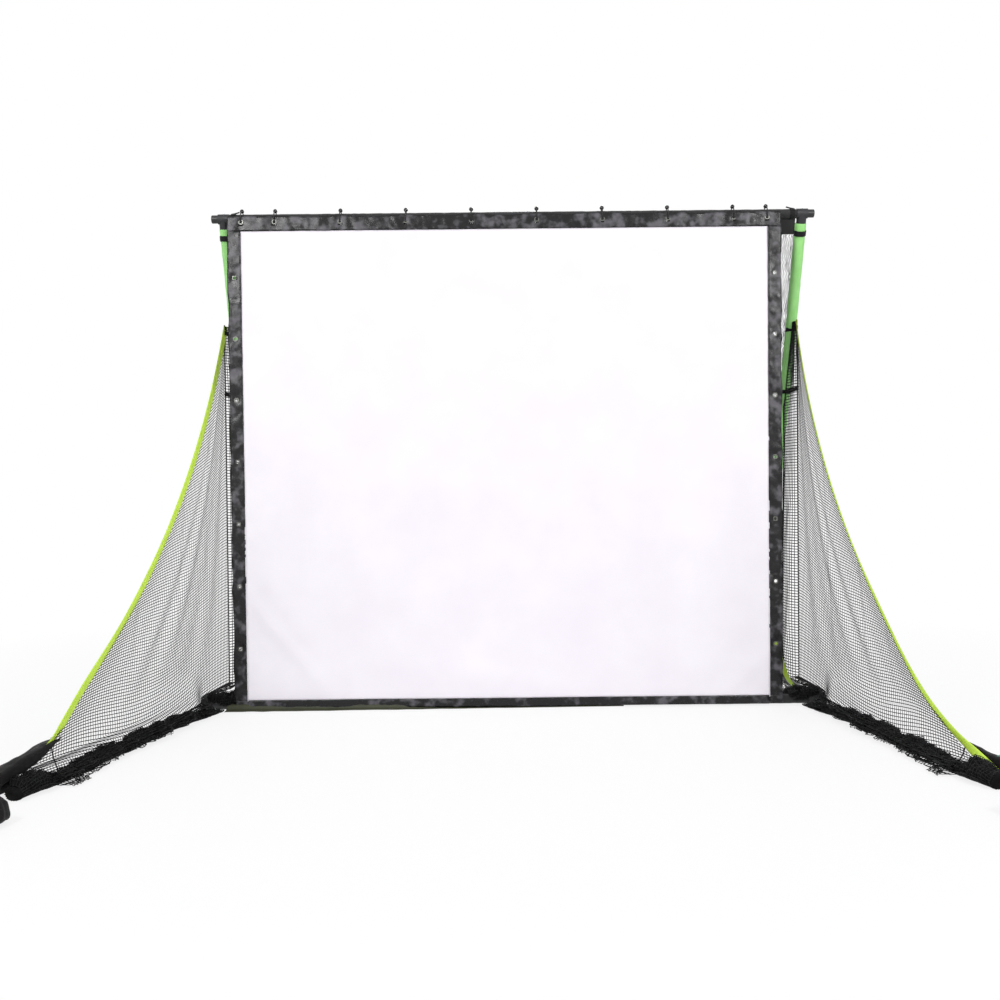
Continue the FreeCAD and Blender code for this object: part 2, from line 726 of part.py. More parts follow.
def side_panel(side):
    curve = SagCurve(side)
    b0, b1, b2, b3 = curve.edges(side_webbing_width + seam_gap / 2)
    foot_front = (b3[0], side_foot_front)
    foot_back = (b0[0], side_cord_foot)
    outline = sheet_wire([(b0, b1, b2), (b2, b3), (b3, foot_front), (foot_front, foot_back), (foot_back, b0)])
    wires = [outline]
    columns = int((b3[0] - b0[0]) / side_cell)
    levels = int(side_height / side_cell)
    for i in range(columns):
        for j in range(levels):
            s0 = b0[0] + net_bar + i * side_cell
            z0 = side_cord_foot + net_bar + (j - 1) * side_cell
            s1, z1 = s0 + side_cell - net_bar, z0 + side_cell - net_bar
            top_ok = min(curve.height(s0, side_webbing_width), curve.height(s1, side_webbing_width)) > z1 + net_bar
            foot_ok = foot_height(s0, b3[0]) < z0 - net_bar
            strap_ok = i > 0 or all(z1 < z - side_cell / 4 or z0 > z + side_cell / 4 for z in side_strap_heights)
            if top_ok and foot_ok and strap_ok:
                corners = [in_net(s0, z0), in_net(s1, z0), in_net(s1, z1), in_net(s0, z1)]
                wires.append(Part.makePolygon(corners + [corners[0]]))
    face = Part.Face(wires, "Part::FaceMakerBullseye")
    net = face.extrude(V(side_thickness, 0, 0)).translated(V(-side_thickness / 2, 0, 0))
    return net.cut(notches())


def side_cord():
    return rod(V(0, 0, side_cord_foot), V(0, 0, 1), side_height - side_cord_foot, side_cord_diameter / 2)


def side_hem(side):
    # Bunched foot of the side net: uneven humps lying on the floor, sewn to the inside of the net's edge.
    wires = []
    edge = side_thickness / 2 + hem_gap
    front_s = SagCurve(side).tail(side_webbing_width)[0]
    for i in range(hem_sections):
        t = i / (hem_sections - 1)
        s = hem_start + hem_length * t
        swell = 1.0 + 0.14 * math.cos(2.4 * i + 0.6)
        width = hem_width * (0.82 + 0.18 * t) * swell
        side_top = foot_height(s, front_s) + hem_lap
        crown = side_top + hem_height * swell
        a, b, c = V(-edge - width, -s, 0), V(-edge, -s, side_top), V(-edge, -s, 0)
        arc = Part.Arc(a, V(-edge - width * 0.42, -s, crown * 0.9), b).toShape()
        wires.append(Part.Wire([arc, Part.LineSegment(b, c).toShape(), Part.LineSegment(c, a).toShape()]))
    return Part.makeLoft(wires, True, True)


def rounded_bag(low, size):
    bag = box_between(low, (low[0] + size[0], low[1] + size[1], low[2] + size[2]))
    round_by = min(bag_rounding, min(size) * 0.4)
    edges = [e for e in bag.Edges if e.CenterOfMass.z > low[2] + 1.0]
    return bag.makeFillet(round_by, edges)


def sandbag():
    outer_low = (bag_face, -bag_outer_start - bag_outer_size[1], 0)
    inner_low = (-bag_inner_inset - bag_inner_size[0], -bag_inner_start - bag_inner_size[1], 0)
    return Part.makeCompound([rounded_bag(outer_low, bag_outer_size), rounded_bag(inner_low, bag_inner_size)])


def saddle():
    # Fabric bridge lying on both pouches, which runs forward and inward between them over the net's edge.
    high = bag_outer_size[2] + bag_gap
    low = bag_inner_size[2] + bag_gap
    outer_end = V(bag_face + saddle_lap, -saddle_start, high)
    outer_turn = V(bag_face, -saddle_start, high)
    inner_turn = V(-bag_inner_inset, -saddle_start - saddle_skew, low)
    inner_end = inner_turn - V(saddle_lap, 0, 0)
    across = V(0, -saddle_width, 0)
    spans = []
    for a, b in ((outer_end, outer_turn), (outer_turn, inner_turn), (inner_turn, inner_end)):
        spans.append(plate([a, b, b + across, a + across], V(0, 0, saddle_thickness)))
    return spans[0].fuse(spans[1:]).removeSplitter()


def apron(side):
    # Three-cornered flap of the outer pouch, sewn along the outside of the webbing back to a point.
    high = bag_outer_size[2] + bag_gap
    end = -bag_outer_start - apron_lap
    points = [V(bag_face, -apron_tip, SagCurve(side).height(apron_tip, 0)), V(bag_face, end, high),
              V(bag_face + apron_width, end, high)]
    return plate(points, V(0, 0, saddle_thickness))


def bag_handle():
    # A webbing grip standing in an arch on top of the outer pouch.
    x = bag_face + bag_outer_size[0] * 0.62
    s = bag_outer_start + bag_outer_size[1] / 2
    z = bag_outer_size[2] + bag_gap
    half = handle_length / 2
    t = handle_thickness
    outer = Part.Arc(V(x, -s - half, z), V(x, -s, z + handle_rise), V(x, -s + half, z)).toShape()
    inner = Part.Arc(V(x, -s + half - 3 * t, z), V(x, -s, z + handle_rise - t), V(x, -s - half + 3 * t, z)).toShape()
    feet = [Part.LineSegment(V(x, -s + half, z), V(x, -s + half - 3 * t, z)).toShape(),
            Part.LineSegment(V(x, -s - half + 3 * t, z), V(x, -s - half, z)).toShape()]
    face = Part.Face(Part.Wire([outer, feet[0], inner, feet[1]]))
    return face.extrude(V(handle_width, 0, 0)).translated(V(-handle_width / 2, 0, 0))


def side_strap(side, sign, height):
    # A band closed round the pole's sleeve, with a tab and an eye that the net's upright cord turns in.
    pole_point = V(sign * pole_x, math.tan(lean) * (top_z - height), height)
    cord_point = V(sign * side_cord_x[side], side_cord_y, height)
    ring_in = sleeve_r + strap_gap
    ring = pipe(pole_point - pole_dir * (strap_width / 2), pole_dir, strap_width, ring_in + strap_thickness, ring_in)
    eye_in = side_cord_diameter / 2 + side_eye_gap
    eye_low = cord_point - V(0, 0, side_eye_height / 2)
    eye = rod(eye_low, V(0, 0, 1), side_eye_height, eye_in + side_eye_wall)
    reach = cord_point - pole_point
    length = reach.Length
    reach.normalize()
    tab = strip(pole_point - reach.cross(V(0, 0, 1)) * (strap_thickness / 2), reach, V(0, 0, 1),
                reach.cross(V(0, 0, 1)), length, side_eye_height, strap_thickness)
    tab = tab.cut(rod(pole_point - pole_dir * strap_width, pole_dir, 2 * strap_width, ring_in))
    return ring.fuse(tab).fuse(eye).cut(rod(eye_low, V(0, 0, 1), side_eye_height, eye_in))


def strap_room(side, sign, height):
    # The space of one side strap and its clearance, which the gusset is notched for.
    pole_point = V(sign * pole_x, math.tan(lean) * (top_z - height), height)
    reach = V(sign * side_cord_x[side], side_cord_y, height) - pole_point
    length = reach.Length
    reach.normalize()
    thick = strap_thickness + 2 * gusset_gap
    tall = side_eye_height + 2 * gusset_gap
    ring_width = strap_width + 2 * gusset_gap
    ring_outer = sleeve_r + strap_gap + strap_thickness + gusset_gap
    ring = rod(pole_point - pole_dir * (ring_width / 2), pole_dir, ring_width, ring_outer)
    across = reach.cross(V(0, 0, 1))
    return ring.fuse(strip(pole_point - across * (thick / 2), reach, V(0, 0, 1), across, length, tall, thick))


def gusset(side, sign):
    # Net from just behind the upright cord back to the pole's sleeve, which hangs free below the lower strap.
    # It is drawn in the plane X = 0, running back from the cord, then turned and moved out.
    top = side_height - gusset_top_gap
    tie = min(side_strap_heights) - gusset_tie_gap
    top_back = math.tan(lean) * (top_z - top) - side_cord_y
    back = math.tan(lean) * (top_z - tie) - side_cord_y
    corners = [(gusset_front, gusset_low), (gusset_low_back, gusset_low), (back, gusset_bend), (back, tie),
               (top_back, top), (gusset_front, top)]

    def back_limit(z):
        if z > tie:
            return top_back + (back - top_back) * (top - z) / (top - tie) - sleeve_r / math.cos(lean) - gusset_gap
        if z < gusset_bend:
            return gusset_low_back + (back - gusset_low_back) * (z - gusset_low) / (gusset_bend - gusset_low)
        return back - sleeve_r

    wires = [Part.makePolygon([V(0, s, z) for s, z in corners + corners[:1]])]
    columns = int(back / side_cell)
    levels = int((top - gusset_low) / side_cell)
    for i in range(columns):
        for j in range(levels):
            s0 = gusset_front + net_bar + i * side_cell
            z0 = gusset_low + net_bar + j * side_cell
            s1, z1 = s0 + side_cell - net_bar, z0 + side_cell - net_bar
            strap_clear = all(z1 < z - side_eye_height or z0 > z + side_eye_height for z in side_strap_heights)
            if strap_clear and s1 + net_bar < min(back_limit(z0), back_limit(z1)):
                window = [V(0, s0, z0), V(0, s1, z0), V(0, s1, z1), V(0, s0, z1)]
                wires.append(Part.makePolygon(window + window[:1]))
    face = Part.Face(wires, "Part::FaceMakerBullseye")
    net = face.extrude(V(side_thickness, 0, 0)).translated(V(-side_thickness / 2, 0, 0))
    net.rotate(V(0, 0, 0), V(0, 0, 1), gusset_turn[side])
    if sign < 0:
        net = mirror_x(net)
    net.translate(V(sign * (side_cord_x[side] - gusset_inset[side]), side_cord_y, 0))
    sleeve_room = rod(V(sign * pole_x, 0, top_z), pole_dir, top_z / math.cos(lean), sleeve_r + gusset_gap)
    return net.cut([sleeve_room] + [strap_room(side, sign, height) for height in side_strap_heights])


nodes["net_gussets"] = Part.makeCompound([gusset(side, sign) for side, sign in SIDES])
side_straps = []
for side, sign in SIDES:
    nodes["side_net_" + side] = place_side(side_panel(side), side, sign)
    nodes["side_webbing_" + side] = place_side(side_webbing(side).cut(notches()), side, sign)
    nodes["side_cord_" + side] = place_side(side_cord(), side, sign)
    nodes["side_hem_" + side] = place_side(side_hem(side), side, sign)
    nodes["sandbag_" + side] = place_side(sandbag(), side, sign)
    bag_straps = Part.makeCompound([saddle(), apron(side), bag_handle()])
    nodes["sandbag_straps_" + side] = place_side(bag_straps, side, sign)
    side_straps += [side_strap(side, sign, height) for height in side_strap_heights]
nodes["side_net_straps"] = Part.makeCompound(side_straps)
nodes["return_net"] = nodes["return_net"].cut(Part.makeCompound(side_straps + straps))

# The origin moves to the floor under the middle of the outer box.
whole = Part.makeCompound(list(nodes.values())).BoundBox
move = V(-(whole.XMin + whole.XMax) / 2, -(whole.YMin + whole.YMax) / 2, 0)
for name, shape in nodes.items():
    placed = shape.copy()
    placed.translate(move)
    placed.exportStep("parts/" + name + ".step")
    if not placed.isValid():
        print("not valid:", name)
print("nodes", len(nodes), "moved by", round(move.x, 3), round(move.y, 3))
print("box", round(whole.XLength, 1), round(whole.YLength, 1), round(whole.ZMin, 2), round(whole.ZMax, 1))
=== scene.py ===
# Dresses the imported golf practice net: coated tube frame, hanging impact screen, return net, side nets, sandbags
import json
import math
import bpy
import numpy as np
from mathutils import Matrix, Vector

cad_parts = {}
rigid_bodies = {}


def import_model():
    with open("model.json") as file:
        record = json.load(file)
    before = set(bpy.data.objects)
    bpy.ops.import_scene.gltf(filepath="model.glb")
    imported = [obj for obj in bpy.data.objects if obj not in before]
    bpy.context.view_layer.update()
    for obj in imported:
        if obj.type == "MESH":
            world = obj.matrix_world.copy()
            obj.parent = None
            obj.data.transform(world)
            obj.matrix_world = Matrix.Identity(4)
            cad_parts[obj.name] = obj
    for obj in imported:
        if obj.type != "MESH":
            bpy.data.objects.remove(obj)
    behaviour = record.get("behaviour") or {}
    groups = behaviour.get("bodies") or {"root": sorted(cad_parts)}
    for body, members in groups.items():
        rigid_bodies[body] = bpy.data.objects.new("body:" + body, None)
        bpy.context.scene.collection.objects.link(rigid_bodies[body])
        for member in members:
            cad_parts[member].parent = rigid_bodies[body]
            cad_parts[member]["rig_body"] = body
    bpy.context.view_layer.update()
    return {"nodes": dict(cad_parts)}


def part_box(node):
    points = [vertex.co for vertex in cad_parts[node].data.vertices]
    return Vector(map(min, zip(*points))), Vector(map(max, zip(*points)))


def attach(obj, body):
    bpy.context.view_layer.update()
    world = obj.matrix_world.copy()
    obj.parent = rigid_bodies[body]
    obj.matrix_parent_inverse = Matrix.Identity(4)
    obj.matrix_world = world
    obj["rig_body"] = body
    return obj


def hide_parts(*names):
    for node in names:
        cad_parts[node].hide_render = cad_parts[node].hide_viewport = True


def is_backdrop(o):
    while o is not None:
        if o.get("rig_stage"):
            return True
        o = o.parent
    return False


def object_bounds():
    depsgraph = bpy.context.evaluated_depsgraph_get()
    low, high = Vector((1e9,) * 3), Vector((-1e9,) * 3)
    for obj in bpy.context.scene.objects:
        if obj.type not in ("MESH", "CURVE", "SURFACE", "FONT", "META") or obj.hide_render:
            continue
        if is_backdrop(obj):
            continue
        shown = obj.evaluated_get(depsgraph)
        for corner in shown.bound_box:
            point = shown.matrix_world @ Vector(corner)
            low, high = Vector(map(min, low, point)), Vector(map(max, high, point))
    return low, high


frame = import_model()
scene = bpy.context.scene
scene.view_settings.view_transform = "Standard"
print("frame loaded with", len(frame["nodes"]), "CAD nodes")

barLow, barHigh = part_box("top_bar_left")[0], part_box("top_bar_right")[1]
bar = {"x": (barLow.x + barHigh.x) / 2, "y": (barLow.y + barHigh.y) / 2, "z": (barLow.z + barHigh.z) / 2}
sides = {"left": -1, "right": 1}
fullTurn = 2 * math.pi


# sRGB hex to linear light: c / 12.92 up to 0.04045, above it ((c + 0.055) / 1.055) ^ 2.4
def linear(hexText):
    channels = [int(hexText[i:i + 2], 16) / 255 for i in (1, 3, 5)]
    return [c / 12.92 if c <= 0.04045 else ((c + 0.055) / 1.055) ** 2.4 for c in channels] + [1.0]


# adds one shader node, with its inputs as values or as links, and its settings by name
def addNode(tree, kind, inputs={}, **settings):
    node = tree.nodes.new("ShaderNode" + kind)
    for name, value in settings.items():
        setattr(node, name, value)
    for name, value in inputs.items():
        if isinstance(value, bpy.types.NodeSocket):
            tree.links.new(value, node.inputs[name])
        else:
            node.inputs[name].default_value = value
    return node


# easing from 0 to 1 between two values: 3t^2 - 2t^3
def ease(value, start, end):
    t = np.clip((value - start) / (end - start), 0, 1)
    return t * t * (3 - 2 * t)


# half a sine wave: sin(pi t), nothing outside 0 to 1
def hump(t):
    return np.sin(math.pi * np.clip(t, 0, 1))


# bell curve: e^(-t^2)
def bell(t):
    return np.exp(-t ** 2)


# even shares from 0 to 1
def shares(count):
    return np.linspace(0, 1, count)


# coordinates as one array: points, directions or places on the flat cloth
def join(*parts):
    return np.stack(np.broadcast_arrays(*parts), axis=-1)


# places as one array, x and y measured from the middle of the top bar
def place(x, y, z):
    return join(x, y, z) + [bar["x"], bar["y"], 0.0]


# unit vectors along the last axis: v / |v|
def unit(vectors):
    return vectors / np.maximum(np.linalg.norm(vectors, axis=-1, keepdims=True), 1e-9)


# distance along a line of points to each one: the running sum of its steps
def distances(points):
    return np.concatenate([[0], np.cumsum(np.linalg.norm(np.diff(points, axis=0), axis=1))])


# smooth noise from -1 to 1: random values on a grid of square cells, eased into each other both ways
def softNoise(a, b, cell, seed):
    table = np.random.default_rng(seed).uniform(-1, 1, (64, 64))
    a, b = np.broadcast_arrays(np.asarray(a, float) / cell, np.asarray(b, float) / cell)
    i, j = np.floor(a).astype(int), np.floor(b).astype(int)
    fa, fb = ease(a - i, 0, 1), ease(b - j, 0, 1)
    near = table[i % 64, j % 64] * (1 - fa) + table[(i + 1) % 64, j % 64] * fa
    far = table[i % 64, (j + 1) % 64] * (1 - fa) + table[(i + 1) % 64, (j + 1) % 64] * fa
    return near * (1 - fb) + far * fb


# puts points, faces and their corners' UV into a mesh; faces is a list of (face array, UV array) of one size each
def buildMesh(name, points, faces, mat):
    mesh = bpy.data.meshes.new(name)
    corners = np.concatenate([f.ravel() for f, uv in faces]).astype(np.int32)
    sizes = np.concatenate([np.full(len(f), f.shape[1]) for f, uv in faces])
    starts = np.concatenate([[0], np.cumsum(sizes)[:-1]]).astype(np.int32)
    mesh.vertices.add(len(points))
    mesh.vertices.foreach_set("co", np.asarray(points, np.float32).ravel())
    mesh.loops.add(len(corners))
    mesh.loops.foreach_set("vertex_index", corners)
    mesh.polygons.add(len(sizes))
    mesh.polygons.foreach_set("loop_start", starts)
    mesh.polygons.foreach_set("use_smooth", np.ones(len(sizes), bool))
    mesh.update(calc_edges=True)
    layer = mesh.uv_layers.new(name="UVMap")
    layer.data.foreach_set("uv", np.concatenate([uv.reshape(-1, 2) for f, uv in faces]).astype(np.float32).ravel())
    mesh.materials.append(mat)
    obj = bpy.data.objects.new(name, mesh)
    scene.collection.objects.link(obj)
    return obj


# builds a piece in its skin, hides the CAD node that it stands for and lets it move with that node's body
def dressPiece(name, points, faces, skin, node):
    mat, skinSlot = skins[skin]
    obj = buildMesh(name, np.concatenate(points), faces, mat)
    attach(obj, frame["nodes"][node]["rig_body"])
    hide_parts(node)
    return obj


# the four corners of each quad of a grid of rows and columns, in order round it; the last axis is what they hold
def quadCorners(grid):
    four = [grid[..., :-1, :-1, :], grid[..., :-1, 1:, :], grid[..., 1:, 1:, :], grid[..., 1:, :-1, :]]
    return np.stack(four, axis=-2).reshape(-1, 4, grid.shape[-1])


# tubes and ribbons: each set of rings is (strands, stations, around, 3); neighbouring rings join by quads and both
# ends close. UV runs in metres, along the strand and round its ring
def ringPiece(name, ringSets, skin, node):
    points, faces, count = [], [], 0
    for rings in ringSets if isinstance(ringSets, list) else [ringSets]:
        rings = rings if rings.ndim == 4 else rings[None]
        index = np.arange(rings.size // 3).reshape(rings.shape[:3]) + count
        wrapped = np.concatenate([index, index[..., :1]], axis=2)
        steps = np.linalg.norm(np.diff(rings.mean(axis=2), axis=1), axis=-1)
        along = np.concatenate([np.zeros((len(rings), 1)), np.cumsum(steps, axis=1)], axis=1)
        chords = np.linalg.norm(np.roll(rings, -1, axis=2) - rings, axis=-1).mean(axis=(0, 1))
        girth = np.concatenate([[0], np.cumsum(chords)])
        caps = np.concatenate([index[:, 0, ::-1], index[:, -1]])
        faces += [(quadCorners(wrapped[..., None])[..., 0], quadCorners(join(along[..., None], girth))),
                  (caps, np.zeros(caps.shape + (2,)))]
        points.append(rings.reshape(-1, 3))
        count += index.size
    return dressPiece(name, points, faces, skin, node)


# cloth: grids of points, each with its flat place as UV in metres and the quads to skip; Solidify gives it two sides
def sheetPiece(name, grids, thickness, skin, node, offset=0.0):
    points, faces, count = [], [], 0
    for grid, flat, skip in grids:
        index = np.arange(grid.size // 3).reshape(grid.shape[:2] + (1,)) + count
        keep = slice(None) if skip is None else ~skip.ravel()
        points.append(grid.reshape(-1, 3))
        faces.append((quadCorners(index)[keep, :, 0], quadCorners(flat)[keep]))
        count += index.size
    obj = dressPiece(name, points, faces, skin, node)
    wall = obj.modifiers.new("wall", "SOLIDIFY")
    wall.thickness = thickness
    wall.offset = offset
    return obj


# round tube along each line: ring point = line + radius (cos a * side + sin a * up), side square to line and outward
def tubeRings(lines, outward, radius, around=3):
    run = unit(np.gradient(lines, axis=-2))
    side = unit(np.cross(run, outward))
    up = np.cross(run, side)
    angle = np.arange(around) * fullTurn / around
    ring = np.cos(angle)[:, None] * side[..., None, :] + np.sin(angle)[:, None] * up[..., None, :]
    return lines[..., None, :] + np.asarray(radius)[..., None, None] * ring


# flat ribbon: a rounded strip profile of width and thickness carried along a line, across it and out from it
def ribbonRings(line, across, out, width, thickness, columns=7):
    spread = np.linspace(-0.5, 0.5, columns)
    edge = np.minimum(1, (0.5 - np.abs(spread)) * width / thickness + 0.25)
    half = join(spread * width, edge * thickness / 2)
    profile = np.concatenate([half, (half * [1, -1])[::-1]])
    across, out = unit(np.broadcast_to(across, line.shape)), unit(np.broadcast_to(out, line.shape))
    rings = line[:, None] + profile[:, :1] * across[:, None] + profile[:, 1:] * out[:, None]
    turned = (np.cross(across, out) * np.gradient(line, axis=0)).sum()
    return rings if turned < 0 else rings[:, ::-1]


# band spacing of a Wave texture: its bands repeat every 2 pi / 20 of a unit at scale 1
def bands(metres):
    return 0.314159 / metres


# starts a material from the real one's colour and gloss; gives it with its tree, shader and coordinates
def startMaterial(name, values):
    mat = bpy.data.materials.new(name)
    mat.use_nodes = True
    shader = mat.node_tree.nodes["Principled BSDF"]
    for socket, value in {"Base Color": linear(values["colour"]), "Roughness": values["roughness"],
                          "Metallic": values.get("metallic", 0.0), "Sheen Weight": values.get("sheen", 0.0),
                          "Specular IOR Level": values.get("specular", 0.5)}.items():
        shader.inputs[socket].default_value = value
    return mat, mat.node_tree, shader, addNode(mat.node_tree, "TexCoord").outputs


# ends a material: colour between two tones by a factor, bump from a height, and gloss swinging with a pattern
def finishSurface(tree, shader, factor, tones, height, strength, depth, gloss=None):
    tone = addNode(tree, "Mix", {0: factor, 6: linear(tones[0]), 7: linear(tones[1])}, data_type="RGBA")
    tree.links.new(tone.outputs[2], shader.inputs["Base Color"])
    bump = addNode(tree, "Bump", {"Height": height, "Strength": strength, "Distance": depth})
    tree.links.new(bump.outputs[0], shader.inputs["Normal"])
    if gloss:
        pattern, start, least, most = gloss
        swing = addNode(tree, "MapRange", {"Value": pattern, "From Min": start, "From Max": 0.7, "To Min": least,
                                           "To Max": most})
        tree.links.new(swing.outputs[0], shader.inputs["Roughness"])


# powder coat, moulded plastic and plating: speckle of a set grain for the bump, broad patches for wear and gloss
def grainMaterial(name, values):
    mat, tree, shader, coord = startMaterial(name, values)
    grain, patch = (addNode(tree, "TexNoise", {"Vector": coord["Object"], "Scale": 1 / values[size],
                                               "Detail": detail}).outputs["Fac"]
                    for size, detail in (("grain", 3.0), ("patch", 4.0)))
    finishSurface(tree, shader, patch, (values["colour"], values["worn"]), grain, values["bump"],
                  values["grain"] * 0.15, (patch, 0.3, values["roughness"] - 0.07, values["roughness"] + 0.1))
    return mat


# woven cloth: warp and weft as two crossed band patterns on the piece's own UV, clouded on object space
def wovenMaterial(name, values):
    values = {**clothUsual, **values}
    mat, tree, shader, coord = startMaterial(name, values)
    warp, weft = (addNode(tree, "TexWave", {"Vector": coord["UV"], "Scale": bands(values[thread]), "Distortion": 0.6,
                                            "Detail": 1.0}, bands_direction=axis).outputs["Fac"]
                  for thread, axis in (("warp", "X"), ("weft", "Y")))
    weave = addNode(tree, "Math", {0: warp, 1: weft}, operation="MULTIPLY").outputs[0]
    cloud = addNode(tree, "TexNoise", {"Vector": coord["Object"], "Scale": 1 / values["patch"], "Detail": 5.0})
    share = addNode(tree, "Math", {0: weave, 1: values["contrast"], 2: cloud.outputs["Fac"]},
                    operation="MULTIPLY_ADD")
    level = addNode(tree, "MapRange", {"Value": share.outputs[0], "From Min": 0.35,
                                       "From Max": 0.75 + values["contrast"]})
    finishSurface(tree, shader, level.outputs[0], (values["dark"], values["colour"]), weave, values["bump"],
                  min(values["warp"], values["weft"]) * 0.25)
    return mat


# PVC-coated fabric: glossy skin with fine crinkle lines, light grey patches of painted highlight standing in for
# reflections off its wrinkles, and a scrim just showing through
def vinylMaterial(name, values):
    mat, tree, shader, coord = startMaterial(name, values)
    crinkle = addNode(tree, "TexNoise", {"Vector": coord["Object"], "Scale": 1 / values["crinkle"], "Detail": 3.0,
                                         "Lacunarity": 2.2}, noise_type="RIDGED_MULTIFRACTAL")
    scrim = addNode(tree, "TexWave", {"Vector": coord["UV"], "Scale": bands(values["scrim"]), "Distortion": 0.3},
                    bands_direction="X")
    both = addNode(tree, "Math", {0: scrim.outputs["Fac"], 1: 0.12, 2: crinkle.outputs["Fac"]},
                   operation="MULTIPLY_ADD")
    sheenNoise = addNode(tree, "TexNoise", {"Vector": coord["Object"], "Scale": 1 / values["patch"],
                                      "Detail": 6.0}).outputs["Fac"]
    # painted highlight: the noise lightens the black towards grey in patches, standing in for lamp reflections off the
    # wrinkles; it also swings the roughness
    paintedSheen = addNode(tree, "MapRange", {"Value": sheenNoise, "From Min": 0.5, "From Max": 0.66})
    finishSurface(tree, shader, paintedSheen.outputs[0], (values["colour"], values["sheenGrey"]), both.outputs[0],
                  values["bump"], values["crinkle"] * 0.05,
                  (sheenNoise, 0.35, values["roughness"] - 0.08, values["roughness"] + 0.12))
    return mat


# twisted twine: slanting lay lines run round each strand on its UV
def twineMaterial(name, values):
    mat, tree, shader, coord = startMaterial(name, values)
    turned = addNode(tree, "Mapping", {"Vector": coord["UV"], "Rotation": (0, 0, math.radians(40))})
    lay = addNode(tree, "TexWave", {"Vector": turned.outputs[0], "Scale": bands(values["lay"]), "Distortion": 1.0,
                                    "Detail": 1.0}, bands_direction="X").outputs["Fac"]
    finishSurface(tree, shader, lay, (values["dark"], values["colour"]), lay, 0.6, values["lay"] * 0.2)
    return mat


hardware = {
    # polyester powder coat on steel tube: soft orange peel about 1.5 mm across, satin, rubbed a little at joints
    "powderCoatedSteel": dict(colour="#141416", worn="#26272a", roughness=0.38, grain=0.0015, patch=0.09, bump=0.25),
    # glass-filled nylon, injection moulded: finer grain, duller than the tube
    "mouldedNylon": dict(colour="#19191b", worn="#2c2d30", roughness=0.5, grain=0.0009, patch=0.05, bump=0.3),
    # low-density polyethylene caps: smooth, slightly waxy
    "polyethyleneCap": dict(colour="#111113", worn="#222326", roughness=0.42, grain=0.003, patch=0.03, bump=0.1),
    # zinc-plated spring steel, stamped
    "zincPlatedSteel": dict(colour="#b9bcc0", worn="#8d9196", roughness=0.3, metallic=1.0, grain=0.001, patch=0.01,
                            bump=0.1),
    # nickel-plated brass eyelets, pressed
    "nickelPlatedBrass": dict(colour="#747671", worn="#5c5d58", roughness=0.38, metallic=1.0, grain=0.001,
                              patch=0.008, bump=0.08),
    # phenolic toggle balls, polished
    "polishedBall": dict(colour="#0c0c0e", worn="#17181a", roughness=0.18, grain=0.004, patch=0.02, bump=0.03),
}
# what most of the woven cloths have: a 600 denier thread, drawn at 2.4 mm so that its grid just shows
clothUsual = dict(roughness=0.6, warp=0.0024, weft=0.0024, contrast=0.3, bump=0.35)
cloths = {
    # impact screen, tightly knitted polyester: dead matt white with a faint lilac cast; 1.2 mm stitches drawn at 3 mm
    "knittedPolyester": dict(slot="screen_white", colour="#f7f3f9", dark="#efeaf2", roughness=0.85, warp=0.003,
                             weft=0.003, patch=0.25, contrast=0.15, bump=0.12, sheen=0.05),
    # Oxford cloth, plain woven polyester: a fine even grid with a soft sheen
    "greenOxford": dict(slot="sleeve_green", colour="#a9e691", dark="#93db7b", patch=0.04, sheen=0.15),
    "blackOxford": dict(slot="bag_black", colour="#10100f", dark="#060606", roughness=0.7, patch=0.05, bump=0.4,
                        sheen=0.06, specular=0.15),
    "tealOxford": dict(slot="bag_teal", colour="#1f8f74", dark="#146b56", patch=0.03, sheen=0.15),
    # netting bunched so tight that it reads as cloth: strands every 9 mm in deep relief
    "bunchedNet": dict(slot="net_black", colour="#0d0d0e", dark="#030303", roughness=0.7, warp=0.009, weft=0.009,
                       patch=0.03, contrast=0.5, bump=0.9, sheen=0.03, specular=0.12),
    # pocket cloth of the return net, polyester rib
    "pocketCloth": dict(slot="band_black", colour="#1a1a1c", dark="#0c0c0e", roughness=0.7, warp=0.002, weft=0.004,
                        patch=0.06, sheen=0.2),
    # polypropylene webbing: raised cross ribs every 3 mm between smooth selvedges
    "limeWebbing": dict(slot="webbing_lime", colour="#d4f752", dark="#c0e442", roughness=0.5, warp=0.003, weft=0.008,
                        patch=0.05, contrast=0.35, bump=0.5),
    # olive webbing: its dark tone is partly painted shade, darkened because it lies low by the floor under the screen's
    # border
    "oliveWebbing": dict(slot="webbing_olive", colour="#41452c", dark="#2e3120", warp=0.003, weft=0.008, patch=0.05,
                         contrast=0.35, bump=0.5),
    "strapWebbing": dict(slot="strap_black", colour="#1b1b1d", dark="#0d0d0f", roughness=0.65, warp=0.002,
                         weft=0.006, patch=0.03, contrast=0.35, bump=0.5, sheen=0.08, specular=0.2),
}
# knotless nylon twine of the nets, and the braided sheath of the thicker cords
cords = {"nylonTwine": dict(slot="net_black", colour="#17181a", dark="#070708", roughness=0.6, specular=0.25,
                            lay=0.004),
         "bungeeSheath": dict(slot="strap_black", colour="#202124", dark="#0c0c0e", roughness=0.6, lay=0.003)}
# PVC-coated polyester of the screen's border, shiny black, with light grey patches of painted highlight standing in for
# reflections off its wrinkles
coatings = {"coatedVinyl": dict(slot="vinyl_black", colour="#0e0d10", sheenGrey="#5a585d", roughness=0.3, specular=0.35,
                                crinkle=0.035, scrim=0.004, patch=0.05, bump=0.5)}
skins = {}
for make, group in ((grainMaterial, hardware), (wovenMaterial, cloths), (twineMaterial, cords),
                    (vinylMaterial, coatings)):
    for name, values in group.items():
        skins[name] = make(name, values), values.get("slot")

